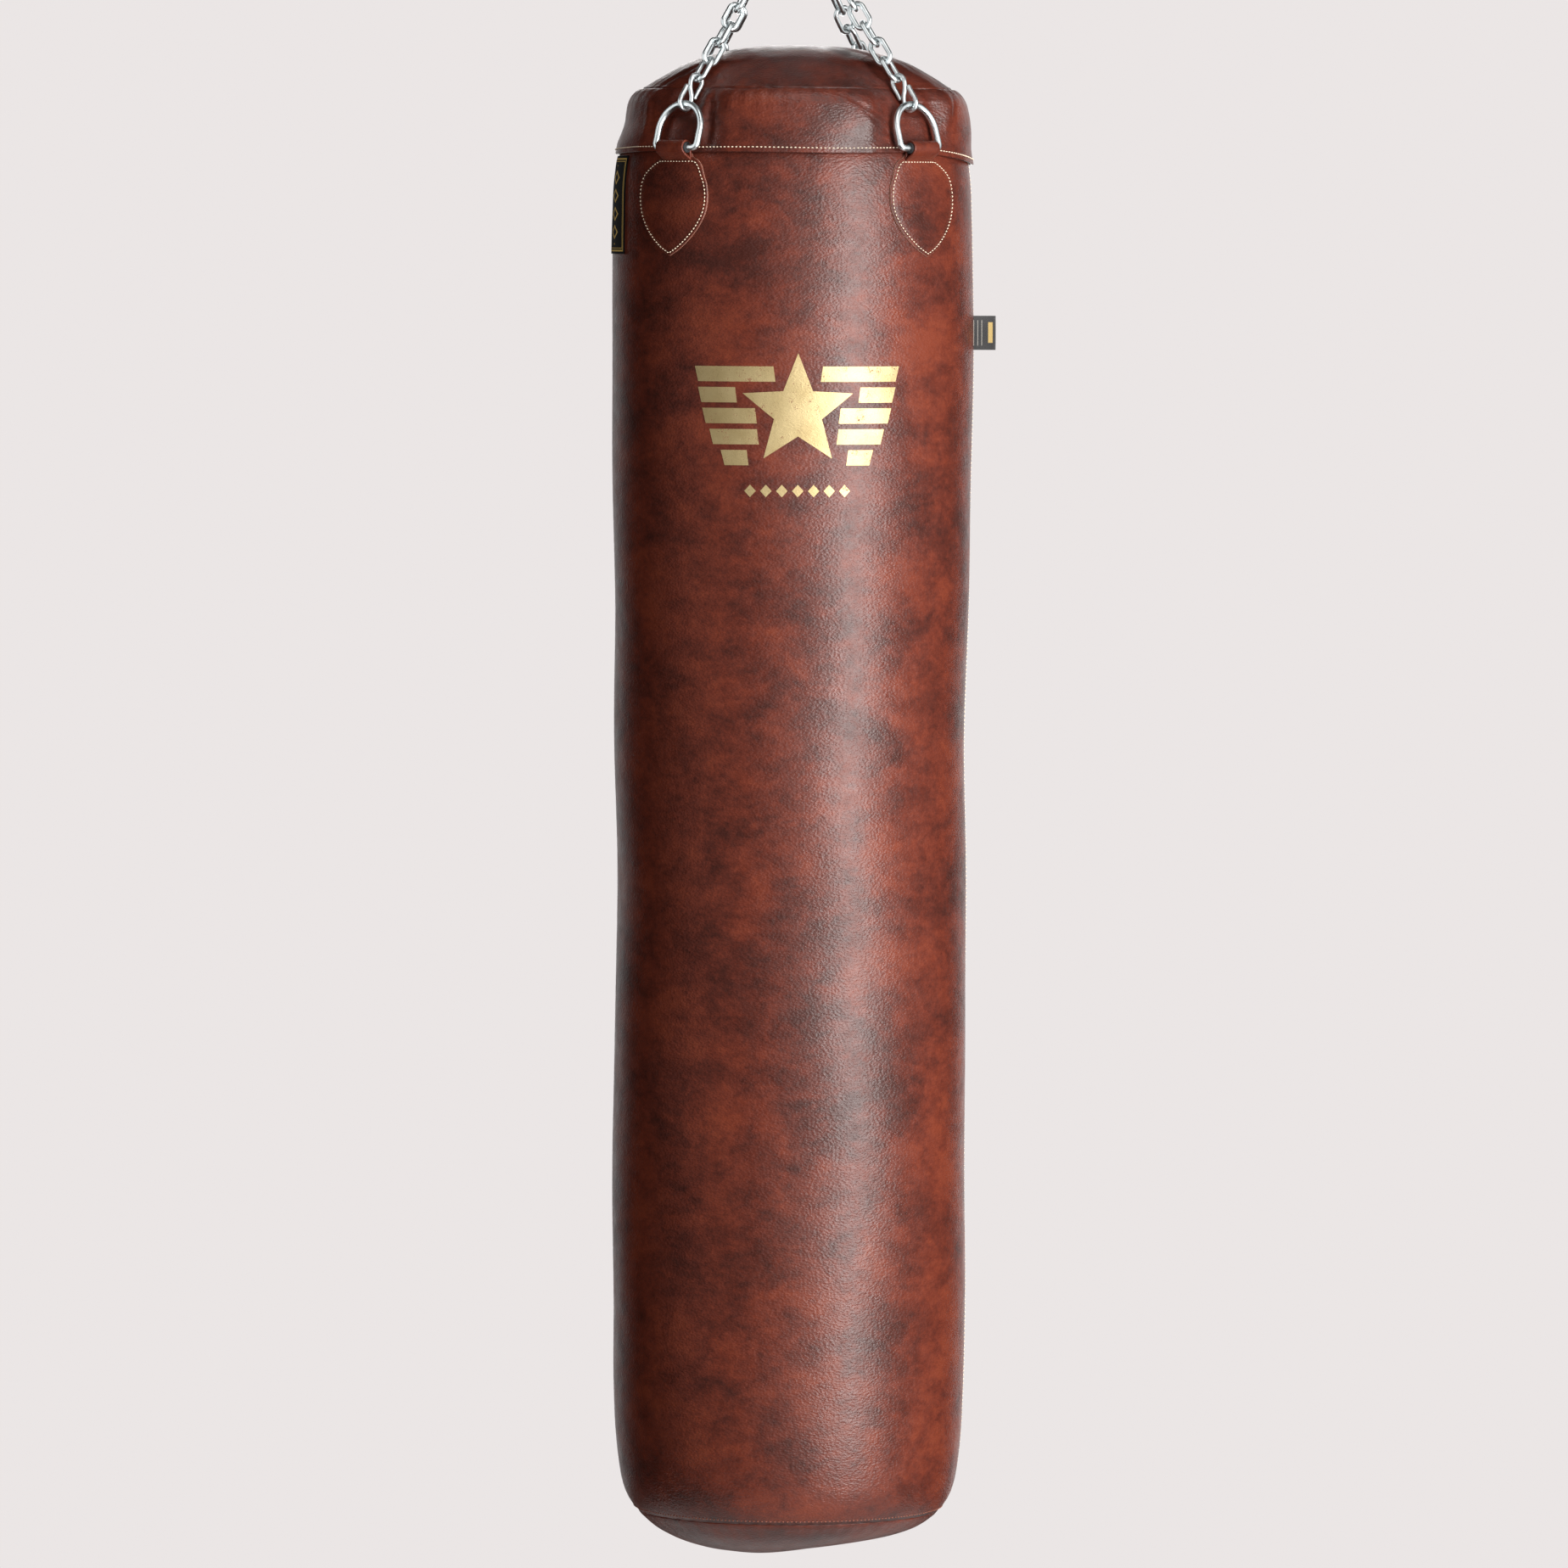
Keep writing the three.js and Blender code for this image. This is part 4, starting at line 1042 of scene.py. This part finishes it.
def label_finish():
    """Black damask with a gold double border and a row of gold lozenges, woven in fine ribs."""
    f = Finish("woven_label")
    weave, across, down = woven_place(f)
    edge = f.node("ShaderNodeMath", {"operation": "MINIMUM"}, {
        0: 0.033 - across.math("ABSOLUTE"), 1: 0.0485 - down.math("ABSOLUTE")})
    border = f.step(edge, 0.0022, 0.0026) * (1 - f.step(edge, 0.0038, 0.0042))
    inner = f.step(edge, 0.0052, 0.0054) * (1 - f.step(edge, 0.0059, 0.0061))
    cell = (down / 0.018).math("FRACT") - 0.5
    lozenge = across.math("ABSOLUTE") / 0.016 + cell.math("ABSOLUTE") * 2.2
    pattern = (1 - f.step(lozenge, 0.86, 0.90)) * f.step(lozenge, 0.56, 0.60)
    gold = border + inner + pattern * f.step(edge, 0.009, 0.0095)
    ribs = f.node("ShaderNodeTexWave", {"bands_direction": "Y"},
                  {"Vector": weave, "Scale": 420, "Distortion": 0.4})
    tone = f.blend(gold.math("MINIMUM", 1.0), (0.008, 0.008, 0.009), (0.62, 0.42, 0.12))
    return f.surface(Base_Color=tone, Roughness=0.85, Specular_IOR_Level=0.25,
                     Normal=f.bump(ribs, 0.00015, 0.6))


def side_label():
    """A thin sheet bent round the cover: rows down it, columns across, closed by its thin rim."""
    height = np.linspace(LABEL_TOP, LABEL_BOTTOM, 60)[:, None]
    u = np.linspace(-1, 1, 50)[None, :]
    azimuth = LABEL_MIDDLE + u * LABEL_HALF_WIDTH / BAG_RADIUS
    radius = cover_radius(azimuth, height) + 0.0003
    top = round_bag(azimuth, radius + LABEL_THICKNESS, height)
    low = round_bag(azimuth, radius - 0.0006, height)
    rim = np.concatenate([low[:, :1], top, low[:, -1:]], axis=1)
    below_middle = height - (LABEL_TOP + LABEL_BOTTOM) / 2
    uv = np.stack(np.broadcast_arrays(u * LABEL_HALF_WIDTH, below_middle), -1)
    uv = np.concatenate([uv[:, :1], uv, uv[:, -1:]], axis=1)
    uv = np.concatenate([uv[:1], uv, uv[-1:]])
    return surface("side_label_cloth", closed_ends(rim, low), label_finish(), wrap_columns=True,
                   uv=uv, sharp=math.radians(50))


placed(side_label(), "bag", "label", "side_label")

tag_low, tag_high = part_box("seam_tag")
TAG_IN_SEAM = 0.004


def tag_finish():
    """Black satin tape with pale lines woven across it and a small gold bar."""
    f = Finish("satin_tag")
    weave, out, up = woven_place(f)
    lines = (out * 7).math("FRACT")
    inside = f.step(up, 0.12, 0.14) * (1 - f.step(up, 0.86, 0.88))
    pale = f.step(lines, 0.42, 0.46) * (1 - f.step(lines, 0.58, 0.62))
    pale = pale * inside * (1 - f.step(out, 0.60, 0.62))
    bar = f.step(out, 0.72, 0.74) * (1 - f.step(out, 0.88, 0.90))
    bar = bar * f.step(up, 0.2, 0.22) * (1 - f.step(up, 0.8, 0.82))
    tone = f.blend(pale * 0.6, (0.012, 0.012, 0.013), (0.45, 0.43, 0.38))
    tone = f.blend(bar, tone, (0.42, 0.30, 0.10))
    ribs = f.noise(2400, 2)
    return f.surface(Base_Color=tone, Roughness=0.5, Normal=f.bump(ribs, 0.0001, 0.5))


def seam_tag():
    """A tape folded at its outer end, as one closed section: two leaves that part slightly where
    they enter the seam, carried up the tag's height with a slight curl."""
    u = np.linspace(0, 1, 24)
    start = tag_low.x - TAG_IN_SEAM
    reach = tag_high.x - tag_low.x + TAG_IN_SEAM
    gape = 0.0006 + 0.0004 * np.cos(u * np.pi)
    fold = np.sqrt(np.clip(1 - np.clip((u - 0.97) / 0.03, 0, 1) ** 2, 0, 1))
    x = np.concatenate([start + reach * u, (start + reach * u)[::-1]])
    y = np.concatenate([gape * fold, -(gape * fold)[::-1]])
    v = np.linspace(0, 1, 20)[:, None]
    z = tag_low.z + (tag_high.z - tag_low.z) * v
    curl = 0.0016 * (x - start) / reach * np.sin(v * np.pi + 0.4)
    points = np.stack(np.broadcast_arrays(x[None, :], y[None, :] - curl, z), -1)
    uv = np.stack(np.broadcast_arrays(np.concatenate([u, u[::-1]])[None, :], v), -1)
    uv = np.concatenate([uv[:1], uv, uv[-1:]])
    return surface("seam_tag_tape", closed_ends(points), tag_finish(), wrap_columns=True,
                   uv=uv, sharp=math.radians(50))


placed(seam_tag(), "bag", "label", "seam_tag")

# ---- Emblem ----
# Gold foil pressed onto the front: a plain five-pointed star with stepped bars on both sides and
# a rule of small lozenges below. The foil is worn thin in places.
EMBLEM_HEIGHT = -0.272
EMBLEM_X = -0.0006
FOIL = 0.00018


def foil_finish():
    """Gold foil with fine cracks along the grain and worn spots that let the leather through."""
    f = Finish("gold_foil")
    clouds, fine = f.noise(90, 4, 0.6), f.noise(700, 3, 0.7)
    worn = f.step(clouds * 0.45 + fine * 0.55, 0.57, 0.63)
    gold = f.ramp(f.noise(35, 3), [(0.3, (0.47, 0.36, 0.17)), (0.7, (0.60, 0.48, 0.25))])
    tone = f.blend(worn * 0.8, gold, (0.16, 0.045, 0.02))
    wide = f.node("ShaderNodeMapping", None, {"Vector": f.place, "Scale": (1, 1, 1.7)})
    grain = f.noise(210, 4, 0.6, 1.4, wide)
    return f.surface(Base_Color=tone, Metallic=0.60 - worn * 0.5, Roughness=0.47 + worn * 0.2,
                     Normal=f.bump(grain, 0.0010, 0.35))


foil = foil_finish()


def foil_patch(name, outline, rings=9):
    """A flat shape laid on the leather: its outline, shrunk in rings towards its middle, then a
    thin rim that goes under the face."""
    outline = np.asarray(outline, float)
    step = np.linspace(0, 1, 14, endpoint=False)[None, :, None]
    dense = (outline[:, None] * (1 - step) + np.roll(outline, -1, axis=0)[:, None] * step).reshape(-1, 2)
    middle = dense.mean(0)
    share = np.r_[np.linspace(0, 1, rings), 1.0, 0.0][:, None, None]
    proud = np.r_[np.full(rings, FOIL), -0.0008, -0.0008][:, None]
    flat = middle + (dense - middle)[None] * share + [EMBLEM_X, EMBLEM_HEIGHT]
    azimuth = flat[..., 0] / BAG_RADIUS
    radius = cover_radius(azimuth, flat[..., 1]) + proud
    patch = surface(name, round_bag(azimuth, radius, flat[..., 1]), foil, wrap_columns=True,
                    sharp=math.radians(40))
    placed(patch, "bag", "leather")


STAR_OUTER, STAR_INNER = 0.057, 0.0245
STAR_RAISED = 0.014
star_angle = np.radians(90 + 36 * np.arange(10))
star_reach = np.where(np.arange(10) % 2 == 0, STAR_OUTER, STAR_INNER)
star_outline = np.stack([star_reach * np.cos(star_angle),
                         star_reach * np.sin(star_angle) + STAR_RAISED], -1)
foil_patch("emblem_star", star_outline, 16)

# Where each bar starts and ends beside the emblem's middle, from the top bar down.
BARS = [(0.024, 0.105), (0.062, 0.101), (0.042, 0.096), (0.040, 0.088), (0.050, 0.076)]
BARS_TOP, BAR_THICKNESS, BAR_STEP, BAR_SLANT = 0.058, 0.0150, 0.0205, 0.004
for side, side_name in ((-1, "left"), (1, "right")):
    for k, (start, end) in enumerate(BARS):
        z = BARS_TOP - k * BAR_STEP
        foil_patch(f"emblem_bar_{side_name}_{k + 1}", [
            (side * start, z), (side * end, z),
            (side * (end - BAR_SLANT), z - BAR_THICKNESS),
            (side * (start - BAR_SLANT * 0.5), z - BAR_THICKNESS)])

RULE_HEIGHT, LOZENGE, LOZENGE_PITCH = -0.064, 0.0056, 0.0155
for k in range(-3, 4):
    x = k * LOZENGE_PITCH
    foil_patch(f"emblem_lozenge_{k + 4}", [
        (x - LOZENGE, RULE_HEIGHT), (x, RULE_HEIGHT - LOZENGE * 1.1),
        (x + LOZENGE, RULE_HEIGHT), (x, RULE_HEIGHT + LOZENGE * 1.1)], 4)

# ---- Snap hook and swivel ----
# A forged swivel snap: a bow with a sprung gate, whose boss carries the swivel eye on a riveted
# stem. The master ring hangs in the eye.
HOOK_WIRE = 0.009
HOOK_SIDE = 0.0165
hinge_gate = hinges["gate_open"]["pos_m"]
washer_low, washer_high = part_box("swivel_washer")
eye_low, eye_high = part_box("swivel_eye")
BOSS_TOP = washer_low.z - GAP
BOSS_BOTTOM = BOSS_TOP - 0.014
BOSS_RADIUS, BOSS_BEVEL = 0.011, 0.0012
WIRE_IN_BOSS = BOSS_BOTTOM + 0.007
STEM_RADIUS = 0.0049
XZ = (np.zeros(3), X, Y, Z)


def lathe(name, section, material, segments=40, centre=(0, 0)):
    """A closed section of radius and height, turned about an upright axis."""
    section = np.asarray(section, float)
    turn = np.linspace(0, 2 * np.pi, segments, endpoint=False)[None, :]
    radius, height = section[:, :1], section[:, 1:]
    points = np.stack(np.broadcast_arrays(
        centre[0] + radius * np.cos(turn), centre[1] + radius * np.sin(turn), height), -1)
    return surface(name, points, material, wrap_rows=True, wrap_columns=True, sharp=math.radians(32))


bow_path = eased(through(np.concatenate([
    [(-0.005, WIRE_IN_BOSS), (-0.013, -0.057)],
    arc(-0.0045, -0.046, 0.012, 205, 180, 3),
    [(-HOOK_SIDE, -0.030)],
    arc(0, HOOK_WIRE / 2 - HOOK_SIDE, HOOK_SIDE, 180, 0, 15),
    [(HOOK_SIDE, -0.018)],
]), 160), 90)
arm_path = eased(through([(0.005, WIRE_IN_BOSS), (0.013, -0.0585), (HOOK_SIDE, -0.0535)], 30), 20)
boss_section = [
    (STEM_RADIUS + GAP, BOSS_BOTTOM), (BOSS_RADIUS - BOSS_BEVEL, BOSS_BOTTOM),
    (BOSS_RADIUS, BOSS_BOTTOM + BOSS_BEVEL), (BOSS_RADIUS, BOSS_TOP - BOSS_BEVEL),
    (BOSS_RADIUS - BOSS_BEVEL, BOSS_TOP), (STEM_RADIUS + GAP, BOSS_TOP),
]
hook_pieces = [
    surface("snap_hook_bow", wire(bow_path, HOOK_WIRE, XZ, False, 24), zinc, wrap_columns=True),
    surface("snap_hook_arm", wire(arm_path, HOOK_WIRE, XZ, False, 24), zinc, wrap_columns=True),
    lathe("snap_hook_boss", boss_section, zinc),
]

EAR_HALF_WIDTH, EAR_HALF_THICKNESS, EAR_OFF = 0.0036, 0.001, 0.0046


def cheek(y):
    """One ear of the gate's hinge: a plate with a round top, as rings of its outline."""
    outline = np.concatenate([
        [(HOOK_SIDE - EAR_HALF_WIDTH, -0.057), (HOOK_SIDE + EAR_HALF_WIDTH, -0.057)],
        arc(HOOK_SIDE, -0.046, EAR_HALF_WIDTH, 0, 180, 14),
    ])
    middle = outline.mean(0)
    share = np.array([0, 1, 1.0, 0])[:, None, None]
    front, back = y - EAR_HALF_THICKNESS, y + EAR_HALF_THICKNESS
    depth = np.array([front, front, back, back])[:, None]
    flat = middle + (outline - middle)[None] * share
    points = np.stack(np.broadcast_arrays(flat[..., 0], depth, flat[..., 1]), -1)
    name = f"snap_hook_ear_{'front' if y < 0 else 'back'}"
    return surface(name, points, zinc, wrap_columns=True, sharp=0.6)


hook_pieces += [cheek(-EAR_OFF), cheek(EAR_OFF)]
for piece in hook_pieces:
    metal(piece, "snap_hook", "zinc_plate", "snap_hook_body")

GATE_RADIUS, GATE_BEVEL = 0.0032, 0.0008
gate_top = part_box("snap_hook_gate")[1].z
gate_section = [
    (0, hinge_gate[2] - 0.0028), (0.0022, hinge_gate[2] - 0.0026), (GATE_RADIUS, hinge_gate[2] - 0.001),
    (GATE_RADIUS, gate_top - GATE_BEVEL), (GATE_RADIUS - GATE_BEVEL, gate_top), (0, gate_top),
]
gate_bar = lathe("snap_hook_gate_bar", gate_section, zinc, 28, (HOOK_SIDE, 0))
metal(gate_bar, "gate", "zinc_plate", "snap_hook_gate")


def plain_steel():
    """Turned steel: fine rings of tool marks under a thin oil film."""
    f = Finish("plain_steel")
    marks = f.noise(1400, 2, 0.5)
    tone = f.ramp(marks, [(0.3, (0.36, 0.37, 0.38)), (0.7, (0.52, 0.53, 0.54))])
    return f.surface(Base_Color=tone, Metallic=1.0, Roughness=0.3 + marks * 0.15)


steel = plain_steel()
pin_low, pin_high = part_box("gate_pin")
PIN_RADIUS, PIN_HEAD, PIN_FACE = 0.0014, 0.0022, 0.0018
pin_section = np.array([
    (0, pin_low.y), (PIN_FACE, pin_low.y), (PIN_HEAD, pin_low.y + 0.0005),
    (PIN_RADIUS, pin_low.y + 0.0009), (PIN_RADIUS, pin_high.y - 0.0009),
    (PIN_HEAD, pin_high.y - 0.0005), (PIN_FACE, pin_high.y), (0, pin_high.y),
])
pin_turn = np.linspace(0, 2 * np.pi, 20, endpoint=False)[None, :]
pin_points = np.stack(np.broadcast_arrays(
    hinge_gate[0] + pin_section[:, :1] * np.cos(pin_turn), pin_section[:, 1:],
    hinge_gate[2] + pin_section[:, :1] * np.sin(pin_turn)), -1)
rivet = surface("gate_rivet", pin_points, steel, wrap_columns=True, sharp=0.6)
metal(rivet, "snap_hook", "steel", "gate_pin")

EYE_WIRE = 0.008
EYE_RADIUS = (eye_high.x - eye_low.x - EYE_WIRE) / 2
EYE_HEIGHT = eye_low.z + EYE_RADIUS + EYE_WIRE / 2
eye_circle = arc(0, EYE_HEIGHT, EYE_RADIUS, 0, 360, 61)[:-1]
shoulder = BOSS_BOTTOM - GAP
stem_section = [
    (0, shoulder - 0.0032), (0.0086, shoulder - 0.0032), (0.0090, shoulder - 0.0028),
    (0.0090, shoulder - 0.0004), (0.0086, shoulder), (STEM_RADIUS, shoulder),
    (STEM_RADIUS, BOSS_TOP + 0.0022), (0.0070, BOSS_TOP + 0.0022), (0.0070, BOSS_TOP + 0.0045),
    (0.0060, BOSS_TOP + 0.0058), (0.0030, BOSS_TOP + 0.0065), (0, BOSS_TOP + 0.0065),
]
eye_ring = surface("swivel_eye_ring", wire(eye_circle, EYE_WIRE, XZ, True, 24), zinc,
                   wrap_rows=True, wrap_columns=True)
for piece in (eye_ring, lathe("swivel_eye_stem", stem_section, zinc)):
    metal(piece, "swivel", "zinc_plate", "swivel_eye")


def refinish(node, material):
    """Gives a CAD node that is shown as it stands one of the finishes made here."""
    looks = frame["nodes"][node].data.materials
    looks.clear()
    looks.append(material)


refinish("swivel_washer", steel)

# ---- Inside ----
# Needle felt lines the leather, and shredded textile is rammed in to the top. Neither shows.


def fibre_finish(name, dark, light, scale):
    """Loose fibres: tangled noise in colour and in relief."""
    f = Finish(name)
    tangle = f.noise(scale, 6, 0.7, 2.0)
    return f.surface(Base_Color=f.ramp(tangle, [(0.35, dark), (0.65, light)]), Roughness=0.95,
                     Normal=f.bump(tangle, 0.002, 0.8))


felt = fibre_finish("needle_felt", (0.06, 0.06, 0.07), (0.16, 0.16, 0.17), 220)
textile = fibre_finish("shredded_textile", (0.14, 0.12, 0.10), (0.36, 0.33, 0.27), 60)
refinish("padding_layer", felt)
refinish("packed_filling", textile)
